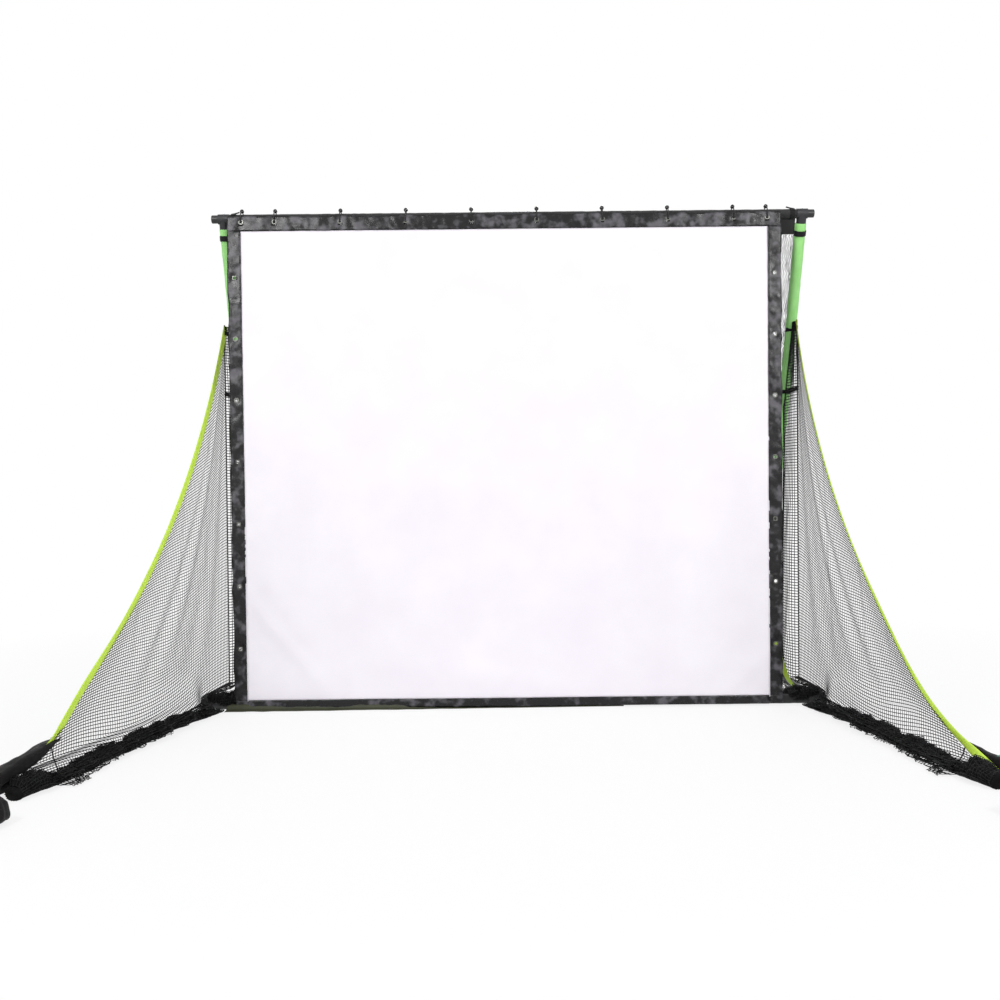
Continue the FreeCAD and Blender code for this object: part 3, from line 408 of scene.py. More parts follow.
# carried-over CAD nodes keep their shape and take their skin by the way their names start
nodeSkins = {"powderCoatedSteel": ("top_bar", "bottom_bar", "upper_pole", "lower_pole", "pole_connectors", "base_rail"),
             "mouldedNylon": ("top_corner", "front_corner", "rear_corner"), "polyethyleneCap": ("end_caps",),
             "zincPlatedSteel": ("button_springs", "snap_button"), "nickelPlatedBrass": ("screen_eyelets",),
             "polishedBall": ("bungee_balls",), "bungeeSheath": ("bungee_cords", "side_cord")}
for skin, starts in nodeSkins.items():
    for name, node in frame["nodes"].items():
        if name.startswith(starts):
            node.material_slots[0].material = skins[skin][0]
print("materials made:", len(bpy.data.materials))

# camera, from the fitted lens and place of the photograph
view = {"x": -0.0734, "back": 5.1666, "height": 1.0194, "lens": 39.6, "down": 0.869, "roll": -0.581}
lens = bpy.data.cameras.new("camera")
lens.lens, lens.sensor_width = view["lens"], 36
camera = bpy.data.objects.new("camera", lens)
camera.location = (bar["x"] + view["x"], bar["y"] - view["back"], view["height"])
pitch, roll = math.radians(90 - view["down"]), math.radians(view["roll"])
camera.rotation_euler = (Matrix.Rotation(pitch, 3, "X") @ Matrix.Rotation(roll, 3, "Z")).to_euler()
scene.collection.objects.link(camera)
scene.camera = camera

# impact screen, drawn upright and leant so that its foot rests on the bottom bar; creases are lines from one place to
# another on the cloth, then their width and height
screen = {"offset": -0.042, "half": 1.2235, "top": 2.2, "low": 0.038, "draw": 0.038, "front": 0.038, "lean": 3.436,
          "thickness": 0.002, "over": 0.004, "fold": 0.010, "relief": 0.016, "borderTop": 0.07, "borderSide": 0.062,
          "borderLow": 0.037, "vinyl": 0.0024, "wrinkle": 0.0055, "scallop": 0.005, "flutter": 0.003,
          "flat": (2.447, 2.162),
          "creases": [(-1.20, 0.47, -0.86, 0.07, 0.035, 0.007), (-1.17, 0.62, -0.95, 0.30, 0.05, 0.005),
                      (-0.55, 0.20, 0.20, 0.09, 0.05, 0.006), (-0.25, 0.33, 0.55, 0.17, 0.07, 0.004),
                      (0.72, 0.10, 1.12, 0.42, 0.05, 0.005), (0.95, 0.06, 1.16, 0.24, 0.03, 0.004)]}
screenTall = screen["top"] - screen["low"]


# leaning: y' = cos a * y + sin a * z, z' = cos a * z - sin a * y, about the bar's height at the screen's back
def leanScreen(x, forward, z):
    a = math.radians(screen["lean"])
    y, drop = -forward, z - bar["z"]
    return place(x, math.cos(a) * y + math.sin(a) * drop - screen["front"],
                 bar["z"] + math.cos(a) * drop - math.sin(a) * y)


# how far the sides draw in below the top: a straight share of the height
def drawIn(z):
    return screen["draw"] * (screen["top"] - z) / screenTall


# cloth relief: broad waves that grow to the foot, plus soft ridges along the fold lines near the lower corners
def screenRelief(x, z):
    share = np.clip((screen["top"] - z) / screenTall, 0, 1)
    relief = screen["fold"] * share ** 1.5 * (0.5 + 0.5 * softNoise(x, z * 0.22, 0.31, 4))
    for ax, az, bx, bz, width, height in screen["creases"]:
        run = np.array([bx - ax, bz - az])
        t = ((x - ax) * run[0] + (z - az) * run[1]) / (run @ run)
        away = ((x - ax) * run[1] - (z - az) * run[0]) / np.linalg.norm(run)
        relief = relief + height * bell(away / width) * ease(t, -0.25, 0.25) * (1 - ease(t, 0.75, 1.25))
    return np.clip(relief, 0, screen["relief"])


u = np.linspace(-1, 1, 180)[None, :]
z = np.linspace(screen["low"] - screen["over"], screen["top"] + screen["over"], 150)[:, None]
x = screen["offset"] + u * (screen["half"] + 0.003 - drawIn(z))
cloth = leanScreen(x, screenRelief(x, z) + screen["thickness"] / 2, z)
screenCloth = sheetPiece("screenCloth", [(cloth, join(u * screen["half"], z), None)], screen["thickness"],
                         "knittedPolyester", "screen_panel")

eyelets = {"pitch": 0.3048, "count": 8, "corner": 1.222, "sidePitch": 0.285, "sideCount": 7, "sideFirst": 0.285,
           "drop": 0.0332, "hole": 0.008, "still": 0.022, "step": 0.007, "sideStep": 0.008}
inner = (np.arange(eyelets["count"]) - (eyelets["count"] - 1) / 2) * eyelets["pitch"]
topEyelets = np.concatenate([[-eyelets["corner"]], inner, [eyelets["corner"]]]) + screen["offset"]
sideEyelets = bar["z"] - eyelets["sideFirst"] - eyelets["sidePitch"] * np.arange(eyelets["sideCount"])
holeZ = bar["z"] - eyelets["drop"]
topHoles = [(c, holeZ) for c in topEyelets]
sideHoles = [(screen["borderSide"] / 2, c) for c in sideEyelets]


# grid lines with a square hole's edges on them: even lines, less those inside a hole, plus both its edges
def linesWithHoles(start, end, step, holes, half):
    lines = np.linspace(start, end, int(abs(end - start) / step) + 1)
    for centre in holes:
        lines = lines[np.abs(lines - centre) > half * 1.2]
    return np.sort(np.concatenate([lines] + [[c - half, c + half] for c in holes]))


# marks the quads of a grid whose middles lie in one of the holes, half a wide and half b tall
def inHoles(a, b, holes, halfA, halfB):
    midA, midB = (a[:-1, :-1] + a[1:, 1:]) / 2, (b[:-1, :-1] + b[1:, 1:]) / 2
    marked = np.zeros(midA.shape, bool)
    for holeA, holeB in holes:
        marked |= (np.abs(midA - holeA) < halfA) & (np.abs(midB - holeB) < halfB)
    return marked


# relief that dies out round each hole: times 1 - bell(distance / still)
def stillRound(relief, a, b, holes):
    for holeA, holeB in holes:
        relief = relief * (1 - bell(np.hypot(a - holeA, b - holeB) / eyelets["still"]))
    return relief


# vinyl relief, forward only: noise stretched along the strip and a finer one askew; still around the eyelets
def vinylRelief(along, across, x, z, seed):
    relief = screen["wrinkle"] * (0.5 + 0.3 * softNoise(along, across * 0.5, 0.045, seed)
                                  + 0.2 * softNoise(along * 1.3 + across * 0.7, across, 0.021, seed + 1))
    return stillRound(relief, x, z, topHoles)


# one strip of the border: its grid, flat place and skipped quads, with the relief standing forward
def borderStrip(x, z, relief, flat, skip=None):
    return leanScreen(x, screen["vinyl"] / 2 + relief, z), flat, skip


# top strip over the whole width, its upper edge slack between the eyelets
topHalf, hole = screen["half"] + screen["borderSide"], eyelets["hole"]
x, z = np.meshgrid(
    linesWithHoles(screen["offset"] - topHalf, screen["offset"] + topHalf, eyelets["step"], topEyelets, hole),
    linesWithHoles(screen["top"], screen["top"] + screen["borderTop"], eyelets["step"], [holeZ], hole))
near = np.abs(x[..., None] - topEyelets).min(-1)
slack = screen["scallop"] * ease(near, 0.015, 0.15) * (z - screen["top"]) / screen["borderTop"]
borderGrids = [borderStrip(x, z - slack, vinylRelief(x, z, x, z, 11), join(x, z),
                           inHoles(x, z, topHoles, hole, hole))]
# side strips, each along the cloth's drawn-in edge
for sign in (-1, 1):
    w, z = np.meshgrid(
        linesWithHoles(0, screen["borderSide"], eyelets["step"], [screen["borderSide"] / 2], hole),
        linesWithHoles(screen["low"], screen["top"] + 0.002, eyelets["sideStep"], sideEyelets, hole))
    x = screen["offset"] + sign * (screen["half"] - drawIn(z) + w)
    relief = stillRound(vinylRelief(z, w, x, z, 21 + sign), w, z, sideHoles)
    wave = screen["flutter"] * softNoise(z, 0.0, 0.06, 31 + sign) * ease(w, 0.03, screen["borderSide"])
    borderGrids.append(borderStrip(x + sign * wave, z, relief, join(z, w), inHoles(w, z, sideHoles, hole, hole)))
# bottom strip, following the cloth's folds
z = screen["low"] + 0.002 - shares(7)[:, None] * (screen["borderLow"] + 0.001)
t = np.linspace(-1, 1, 330)[None, :]
x = screen["offset"] + t * (screen["half"] - screen["draw"] + screen["borderSide"])
relief = vinylRelief(x, z, x, z, 41) + screenRelief(x, np.full_like(x + z, screen["low"])) * (np.abs(t) < 0.95)
borderGrids.append(borderStrip(x, z, relief, join(x, z)))
screenBorder = sheetPiece("screenBorder", borderGrids, screen["vinyl"], "coatedVinyl", "screen_border")
print("screen hung")

# return net: diamond mesh on a curve from the top bar down the poles and forward to the bottom bar
net = {"path": [(0.0, 2.267), (0.496, 1.0), (0.505, 0.6), (0.33, 0.2), (0.14, 0.062), (-0.15, 0.022)],
       "round": 0.16, "grid": 0.001, "skipTop": 0.092, "skipLow": 0.068, "halfTop": 1.327, "halfLow": 1.3,
       "belly": 0.045, "folds": 0.010, "pull": 0.012, "cell": 0.0135, "strand": 0.0018, "leave": 1.36, "crowd": 1.2,
       "wander": 0.005, "covered": 0.4}

# the path's corners averaged over a sliding window, on points a millimetre apart
corners = np.array(net["path"])
legs = distances(corners)
fine = np.arange(0, legs[-1], net["grid"])
rough = join(np.interp(fine, legs, corners[:, 0]), np.interp(fine, legs, corners[:, 1]))
window = np.hanning(int(net["round"] / net["grid"]))
window = window / window.sum()
pad = len(window) // 2
padded = np.concatenate([2 * rough[0] - rough[pad:0:-1], rough, 2 * rough[-1] - rough[-2:-2 - pad:-1]])
smooth = join(*(np.convolve(padded[:, k], window, "same")[pad:pad + len(rough)] for k in (0, 1)))
netRun = distances(smooth)
netBack = unit(join(-np.gradient(smooth[:, 1]), np.gradient(smooth[:, 0])))
netStart, netEnd = net["skipTop"], netRun[-1] - net["skipLow"]


# y and z of a table that follows the net's path, at a distance down it
def alongNet(table, v):
    return [np.interp(v, netRun, table[:, k]) for k in (0, 1)]


# half width of the net at a distance down its path: to the sleeves above, to its green edging below
def netHalf(v):
    pull = net["pull"] * hump((v - net["leave"]) / (netEnd - net["leave"]))
    return net["halfTop"] + (net["halfLow"] - net["halfTop"]) * ease(v, net["leave"] - 0.1, net["leave"]) - pull


# the net's surface: path point + back direction * (belly + loose vertical folds)
def netPoint(x, v):
    share = (v - netStart) / (netEnd - netStart)
    across = 1 - (x / netHalf(v)) ** 2
    folds = net["folds"] * softNoise(x + 0.05 * v, v * 0.25, 0.11, 51) * np.minimum(1, across * 4)
    out = net["belly"] * across * hump(share) ** 0.8 + folds * hump(share)
    y, z = (path + back * out for path, back in zip(alongNet(smooth, v), alongNet(netBack, v)))
    return place(x, y, np.maximum(z, 0.006))


stations = np.linspace(netStart, netEnd, int((netEnd - netStart) / net["cell"]) + 1)
columns = int(2 * net["halfTop"] / net["cell"])
centres = (np.arange(columns) + 0.5) / columns * 2 - 1
zigzag = np.where(np.arange(len(stations)) % 2 == 0, 1.0, -1.0) / columns
share = centres[:, None] + zigzag[None, :]
share = np.sign(share) * (1 - (1 - np.clip(np.abs(share), 0, 1)) ** net["crowd"])
wander = net["wander"] * softNoise(centres[:, None], stations[None, :], 0.018, 54) * ease(np.abs(share), 0.9, 0.97)
lines = netPoint(np.clip(share + wander, -1, 1) * netHalf(stations), stations)
wide, tall = net["halfTop"], netEnd - netStart
for side, half in zip(sides, np.split(lines, [columns // 2])):
    rings = tubeRings(half, join(0, *alongNet(netBack, stations)), net["strand"])
    piece = ringPiece("returnNet" + side.title(), rings, "nylonTwine", "return_net")
print("return net:", columns, "columns of", len(stations), "stations")

# green webbing on the net's free lower edges
edging = {"width": 0.025, "thickness": 0.003, "out": 0.0125, "over": 0.05, "twist": 0.25}
for side, sign in sides.items():
    v = np.linspace(net["leave"] - edging["over"], netEnd, 130)
    out = join(0, *alongNet(netBack, v))
    across = [1.0, 0.0, 0.0] + edging["twist"] * softNoise(v, 0.0, 0.09, 55 + sign)[:, None] * out
    line = netPoint(sign * netHalf(v), v) + [sign * edging["out"], 0.0, 0.0]
    ringPiece("netEdging" + side.title(), ribbonRings(line, across, out, edging["width"], edging["thickness"]),
              "limeWebbing", "net_edging_" + side)


# a bar's pocket: a cloth tube round the bar with shallow gathers, and a flap that carries the net
pocket = {"r": 0.0204, "wall": 0.0014, "start": 0.106, "end": 1.324, "gather": 0.0006, "slit": 0.004,
          "slitEnd": 0.041, "flapStart": 0.0212, "loose": 0.0035, "step": 0.009}


# ring: axis + (r + gathers) * direction; flap: straight from the ring along its own direction (y, z)
def barPocket(name, node, axisY, axisZ, flapDir, flapLength, holes):
    # d along the flap's direction and e square to it, kept above the floor
    def spot(x, d, e, lowest):
        return place(x, axisY + d * flapDir[0] - e * flapDir[1],
                     np.maximum(axisZ + d * flapDir[1] + e * flapDir[0], lowest))

    grids = []
    for sign in (-1, 1):
        x, angle = np.meshgrid(np.linspace(pocket["start"], pocket["end"], 240) * sign, np.linspace(0, fullTurn, 33))
        r = pocket["r"] + pocket["gather"] * softNoise(x, angle * 0.012, 0.02, 61)
        grid = spot(x, r * np.cos(angle), r * np.sin(angle), 0.0012)
        grids.append((grid[::-sign], join(x, angle * r), None))
    start, slitEnd, step = pocket["flapStart"], pocket["slitEnd"], pocket["step"]
    if len(holes):
        ds = np.concatenate([np.linspace(start, slitEnd, 4), np.linspace(slitEnd + 0.006, flapLength, 8)])
    else:
        ds = linesWithHoles(start, flapLength, step, [], 0)
    x, d = np.meshgrid(linesWithHoles(-pocket["end"], pocket["end"], step, holes, pocket["slit"]), ds)
    loose = pocket["loose"] * softNoise(x, d * 0.3, 0.035, 71) * ease(d, 0.03, flapLength)
    skip = inHoles(x, d, [(c, 0.0) for c in holes], pocket["slit"], slitEnd)
    grids.append((spot(x, d, loose, 0.0015), join(x, d), skip))
    return sheetPiece(name, grids, pocket["wall"], "pocketCloth", node)


poleLean = math.atan2(0.879, bar["z"] - 0.022)
poleDir = (math.sin(poleLean), -math.cos(poleLean))
barPocket("topPocket", "net_top_band", 0.0, bar["z"], poleDir, 0.095, topEyelets)
barPocket("bottomPocket", "net_bottom_band", -0.15, 0.022, unit(np.array([0.29, 0.04])), 0.07, [])

# olive webbing sewn along the bottom pocket's front, wide at the left and running out to the right; its dark colour is
# partly painted shade from lying low under the screen's border
toeStrip = {"left": -1.324, "right": 0.48, "wideLeft": 0.062, "wideRight": 0.006, "back": -0.171, "rise": 0.027,
            "wave": 0.004, "thickness": 0.002}
t, w = np.meshgrid(shares(260), shares(8))
x = toeStrip["left"] + (toeStrip["right"] - toeStrip["left"]) * t
depth = toeStrip["wideLeft"] + (toeStrip["wideRight"] - toeStrip["wideLeft"]) * t
lift = 0.0015 + toeStrip["wave"] * (0.5 + 0.5 * softNoise(x, w * 0.03, 0.05, 81)) * w * (1 - t)
rise = toeStrip["rise"] * (1 - ease(w, 0.0, 0.45))
sheetPiece("toeWebbing", [(place(x, toeStrip["back"] - depth * w, lift + rise), join(x, depth * w), None)],
           toeStrip["thickness"], "oliveWebbing", "net_toe_webbing")

# sleeves on the upper poles: cloth tubes, a little slack, with a seam where the net is sewn in and a hem at the foot
sleeve = {"start": 0.044, "end": 1.3605, "r": 0.0243, "slack": 0.0014, "tight": 0.003, "seam": 0.004, "hem": 0.0012,
          "girth": 0.153, "wall": 0.001}
poleX = 1.352


# a point of the pole's axis at a distance down from the bar
def poleAxis(sign, d):
    return place(sign * poleX, poleDir[0] * d, bar["z"] + poleDir[1] * d)


for side, sign in sides.items():
    d = np.linspace(sleeve["start"], sleeve["end"], 170)[:, None]
    angle = np.linspace(0, fullTurn, 41)[None, :-1]
    sine = np.sin(angle)
    r = sleeve["r"] + sleeve["slack"] * softNoise(d + 0.03 * sine, sine * 0.02 + 0.5, 0.03, 91 + sign)
    r = r - sleeve["tight"] * ease(d, 0.8, 0.9) + sleeve["seam"] * bell((angle - math.pi) / 0.12)
    r = r + sleeve["hem"] * bell((d - sleeve["end"] + 0.012) / 0.004)
    out = join(sign * np.cos(angle), sine * math.cos(poleLean), sine * math.sin(poleLean))
    points = poleAxis(sign, d) + r[..., None] * out
    wrapped = np.concatenate([points, points[:, :1]], axis=1)[:, ::sign]
    sheetPiece("sleeve" + side.title(), [(wrapped, join(d, np.linspace(0, sleeve["girth"], 41)), None)],
               sleeve["wall"], "greenOxford", "pole_sleeve_" + side, 1.0)
print("pockets and sleeves sewn")

strap = {"width": 0.025, "thickness": 0.0016, "sleeveDrop": 0.0885, "sleeveR": 0.0262, "cornerX": 1.305,
         "cornerR": 0.0214, "cornerWidth": 0.022, "tail": 0.034, "tailWidth": 0.02, "rise": 0.008}


# straps: a band wound once round an axis, its end lying over its start.
# point = centre + (r + step) * (cos a * e1 + sin a * e2), the step easing in over the lap
def strapLoop(centre, axis, e1, r, width, lap, start):
    angle = np.linspace(start, start + fullTurn + lap, 72)
    radius = r + strap["thickness"] / 2 + (strap["thickness"] + 0.0003) * ease(
        angle, start + fullTurn - 0.5, start + fullTurn)
    axis, e1 = unit(np.array(axis, float)), np.array(e1, float)
    e1 = unit(e1 - (e1 @ axis) * axis)
    out = np.cos(angle)[:, None] * e1 + np.sin(angle)[:, None] * np.cross(axis, e1)
    return ribbonRings(centre + radius[:, None] * out, axis, out, width, strap["thickness"], 9)


for side, sign in sides.items():
    rings = strapLoop(poleAxis(sign, strap["sleeveDrop"]), (0, poleDir[0] + 0.12 * sign, poleDir[1]), (sign, 0, 0),
                      strap["sleeveR"], strap["width"], 0.9, 2.2)
    ringPiece("sleeveStrap" + side.title(), rings, "strapWebbing", "sleeve_straps")
    rings = strapLoop(place(sign * strap["cornerX"], 0, bar["z"]), (1, 0, 0), (0, 0, 1), strap["cornerR"],
                      strap["cornerWidth"], 0.7, 0.3)
    ringPiece("cornerStrap" + side.title(), rings, "strapWebbing", "corner_straps")
    t = shares(24)
    line = place(sign * (strap["cornerX"] + 0.008 - strap["tail"] * t), 0.002,
                 bar["z"] + 0.0245 + strap["rise"] * t ** 1.6)
    rings = ribbonRings(line, (0, 1, 0), (0, 0, 1), strap["tailWidth"], strap["thickness"])
    ringPiece("cornerTail" + side.title(), rings, "strapWebbing", "corner_straps")

# side nets, worked out in their own plane: s forward from the upright cord, x outward, then turned by the flare.
# bow is middle, width, drop, inward bow and lift of the edge's front part; twist turns the webbing: at the top, then
# by how much more between two places, twice; gather draws uprights together: middle, width and pull of each fold
sideNet = {"height": 1.79, "front": 0.092, "cordY": 0.118, "tail": 0.12, "webbing": 0.032, "thick": 0.003,
           "inset": 0.62, "row": 0.0135, "upright": 0.017, "strand": 0.0019, "thin": 0.0013, "fall": 0.76,
           "droop": 0.093, "fan": 0.22, "extra": 0.24, "cordFoot": 0.076, "frontFoot": 0.008, "ripple": 0.0045,
           "crumple": 0.0012, "lumps": ((0.35, 0.075), (0.25, 0.03)), "lean": 0.03, "tuck": 0.018, "layer": 0.026,
           "lace": 0.0023, "flat": (1.75, 1.79), "covered": 1.0,
           # loose layers on the floor, by the cloth's run below the foot line in steps of 0.15 of "extra"
           "foldX": [0, 0.014, 0.055, 0.088, 0.055, 0.015, 0.03, 0.075, 0.05],
           "foldZ": [0, -0.7, -0.85, 0.1, 0.55, 0.75, 1.2, 1.0, 0.7],
           "left": {"cordX": 1.385, "flare": 11.0, "reach": 1.66, "sag": 0.243, "end": 1.61, "laceS": 1.46,
                    "bow": (1.47, 0.17, 0.028, 0.012, 0.028), "twist": (-0.12, 0.17, 0.35, 1.0, 0.5, 1.38, 1.5),
                    "gather": [(0.16, 0.02, 0.35), (0.33, 0.016, 0.3), (0.56, 0.02, 0.35), (0.78, 0.018, 0.3)]},
           "right": {"cordX": 1.358, "flare": 8.0, "reach": 1.54, "sag": 0.268, "end": 1.58, "laceS": 1.445,
                     "bow": (1.25, 0.33, 0.024, 0.02, 0.008), "twist": (0.3, -0.1, 0.5, 1.2, -0.7, 1.42, 1.56),
                     "gather": [(0.25, 0.018, 0.5), (0.47, 0.018, 0.5), (0.61, 0.016, 0.5), (0.80, 0.024, 0.7),
                                (0.95, 0.016, 0.4)]}}


# local to world: x = cordX + x cos f + s sin f, y = cordY + x sin f - s cos f, mirrored for the left net
def placeSide(x, s, z, side):
    f = math.radians(sideNet[side]["flare"])
    return place(sides[side] * (sideNet[side]["cordX"] + x * math.cos(f) + s * math.sin(f)),
                 sideNet["cordY"] + x * math.sin(f) - s * math.cos(f), z)


# directions in a side net's plane turned the same way
def turnSide(x, s, z, side):
    return placeSide(x, s, z, side) - placeSide(0.0, 0.0, 0.0, side)


# the sagging top edge: an arc through the cord's top and the front point, then a straight tail on its tangent, less
# a bell-shaped drop near the front; offset moves it inside the webbing. Gives s and z along it
def sagEdge(side, offset):
    a = np.array([0.0032, sideNet["height"]])
    b = np.array([sideNet[side]["reach"], sideNet["front"]])
    chord, sag = np.linalg.norm(b - a), sideNet[side]["sag"]
    radius = chord ** 2 / (8 * sag) + sag / 2
    along = (b - a) / chord
    centre = (a + b) / 2 - np.array([along[1], -along[0]]) * (radius - sag)
    first, last = (np.arctan2(p[1] - centre[1], p[0] - centre[0]) % fullTurn for p in (a, b))
    angle = np.linspace(first, last, 200)
    arc = centre + (radius + offset) * join(np.cos(angle), np.sin(angle))
    tail = arc[-1] + unit(arc[-1] - arc[-2]) * np.linspace(0.01, sideNet["tail"], 24)[:, None]
    s, z = np.concatenate([arc, tail]).T
    middle, width, drop, bow, lift = sideNet[side]["bow"]
    z = z - drop * bell((s - middle) / width) + lift * ease(s, 1.6, 1.78)
    return s, np.maximum(np.minimum.accumulate(z), 0.004 - 0.0001 * np.arange(len(z)) / len(z))


# how far the edge bows inward at a distance from the cord
def edgeBow(s, side):
    middle, width, drop, bow, lift = sideNet[side]["bow"]
    return -bow * bell((s - middle) / width)


# height of the net's foot line above the floor, from the cord forward
def footHeight(s):
    return sideNet["cordFoot"] + (sideNet["frontFoot"] - sideNet["cordFoot"]) * np.clip(s / 1.6, 0, 1)


# height of the row that leaves the cord at v, at share u of the way to the webbing, h = v / height:
# v - fall * h^0.95 (1-h)^0.9 * u^1.5 - droop * (1-h) * sin^2
def rowHeight(u, v):
    h = np.clip(v / sideNet["height"], 0, 1)
    fall = sideNet["fall"] * h ** 0.95 * (1 - h) ** 0.9 * u ** 1.5
    return v - fall - sideNet["droop"] * (1 - h) * hump(u) ** 2


# hanging cloth at share u of the way from the cord to the webbing and at height raw, s = u * the edge's reach.
# Its lowest stretch leans inward, and cloth that would pass the foot line folds on the floor in loose layers
def hangSide(u, raw, side):
    edgeS, edgeZ = sagEdge(side, sideNet["webbing"] * sideNet["inset"])
    reach = np.interp(-raw, -edgeZ, edgeS)
    s = u * np.minimum(reach, sideNet[side]["end"] - 0.05 * (1 - np.clip(raw / 0.06, 0, 1)) ** 2)
    foot = footHeight(s)
    under = np.maximum(0, foot - raw)
    onFloor = ease(s, 0.28, 0.42)
    q = under / sideNet["extra"]
    (broad, broadSize), (small, smallSize) = sideNet["lumps"]
    lump = 1 + broad * softNoise(s, 0.0, broadSize, 101) + small * softNoise(s, q, smallSize, 102)
    table = np.linspace(0, 1.2, len(sideNet["foldX"]))
    foldX, foldZ = np.interp(q, table, sideNet["foldX"]) * lump, np.interp(q, table, sideNet["foldZ"])
    folded = np.where(foldZ < 0, foot + foldZ * (foot - 0.005), foot * 0.4 + foldZ * sideNet["layer"] * lump)
    tucked = foot - sideNet["tuck"] * hump(q * 2) * lump
    z = np.where(under > 0, tucked * (1 - onFloor) + folded * onFloor, raw)
    hang = ease(raw - foot, 0.0, 0.35) * hump(u) * np.minimum(1, reach)
    lean = sideNet["lean"] * onFloor * (1 - ease(raw - foot, 0.0, 0.16))
    waves = np.sin(u * 23 + 1.2 * softNoise(u * 0.5, raw * 0.3, 0.2, 103)) + 0.6 * np.sin(u * 41 + 2)
    x = -lean - np.where(under > 0, foldX * (0.3 + 0.7 * onFloor), 0) + edgeBow(s, side) * u
    x = x + (sideNet["ripple"] * waves + sideNet["crumple"] * softNoise(s, raw, 0.024, 104)) * hang
    return placeSide(x, s, np.maximum(z, 0.003), side)


# bunched netting: lumps as share and size, girth in metres for a radian, and the strands drawn proud of the body.
# hem is the roll on the floor inside the net, caught the netting that hangs over the end of the bottom bar
roll = {"around": 20, "girth": 0.03, "lumps": ((0.3, 0.06), (0.22, 0.02), (0.14, 0.008)), "proud": 0.0025,
        "strand": 0.0014,
        "hem": {"start": 0.33, "short": 0.2, "x": -0.053, "inward": 0.05, "wander": 0.008, "half": 0.047,
                "tall": 0.018, "swellHalf": 0.01, "swellTall": 0.024},
        "caught": {"x": 0.012, "s": 0.25, "across": 0.2, "forward": 0.03, "half": 0.05, "tall": 0.034,
                   "swellTall": 0.012}}


# rings along a path on the floor, ellipses half wide and tall high swollen by lumps: 1 + sum of share * noise
def bunch(x, s, half, tall, seed, proud, side):
    run = unit(join(np.gradient(x), np.gradient(s)))
    steps = distances(join(x, s))[:, None]
    angle = np.linspace(0, fullTurn, roll["around"] + 1)[None, :-1]
    lump = 1
    for k, (share, size) in enumerate(roll["lumps"]):
        lump = lump + share * softNoise(steps, angle * roll["girth"], size, seed + k)
    across = (half[:, None] * lump + proud) * np.cos(angle)
    z = np.maximum((tall[:, None] * lump + proud) * (1 + np.sin(angle)), 0.0012 - proud)
    return placeSide(x[:, None] - run[:, 1:] * across, s[:, None] + run[:, :1] * across, z, side)


# a bunch as a dark body with strands of netting drawn over it, along and round it
def bunchPieces(name, x, s, half, tall, seed, side, node):
    rings = bunch(x, s, half, tall, seed, 0.0, side)
    core = ringPiece(name + "Core" + side.title(), rings[:, ::sides[side]], "bunchedNet", node)
    hoops = bunch(x, s, half, tall, seed, roll["proud"], side)
    out = hoops - hoops.mean(axis=1, keepdims=True)
    loops, loopsOut = (np.concatenate([a, a[:, :1]], axis=1)[::2] for a in (hoops, out))
    sets = [tubeRings(loops, loopsOut, roll["strand"]),
            tubeRings(np.swapaxes(hoops, 0, 1), np.swapaxes(out, 0, 1), roll["strand"])]
    return [core, ringPiece(name + "Netting" + side.title(), sets, "nylonTwine", node)]


# gussets: net from behind the upright cord back to the pole's sleeve, with a doubled selvedge hanging free below;
# backs is its depth at each of heights
gusset = {"front": 0.002, "heights": [0.05, 0.2, 1.38, 1.44, 1.785], "backs": [0.17, 0.2057, 0.2057, 0.178, 0.044],
          "loose": 0.005, "selvedge": 0.042, "thick": 0.0025, "flat": (0.21, 1.7), "covered": 0.2,
          "left": {"inset": 0.013, "turn": 5.6, "belly": 0.004}, "right": {"inset": 0.008, "turn": 1.3, "belly": 0.03}}


# depth of the gusset behind the cord at a height
def gussetBack(z):
    return np.interp(z, gusset["heights"], gusset["backs"])


# gusset surface at distance b behind the cord: turned inward, bellied as sin(0.85 pi b / back), with small loose
# folds that fade to its edges
def gussetPoint(b, z, side):
    own, back = gusset[side], gussetBack(z)
    f = math.radians(own["turn"])
    loose = gusset["loose"] * softNoise(b + 0.1 * z, z * 0.3, 0.05, 131) * hump(b / back)
    belly = own["belly"] * hump(0.85 * np.clip(b / back, 0, 1)) * ease(1.75 - z, 0.0, 1.6)
    inset = own["inset"] * ease(b, 0.0, 0.03) + belly
    return place(sides[side] * (sideNet[side]["cordX"] - inset - b * math.sin(f) + loose),
                 sideNet["cordY"] + b * math.cos(f), z)


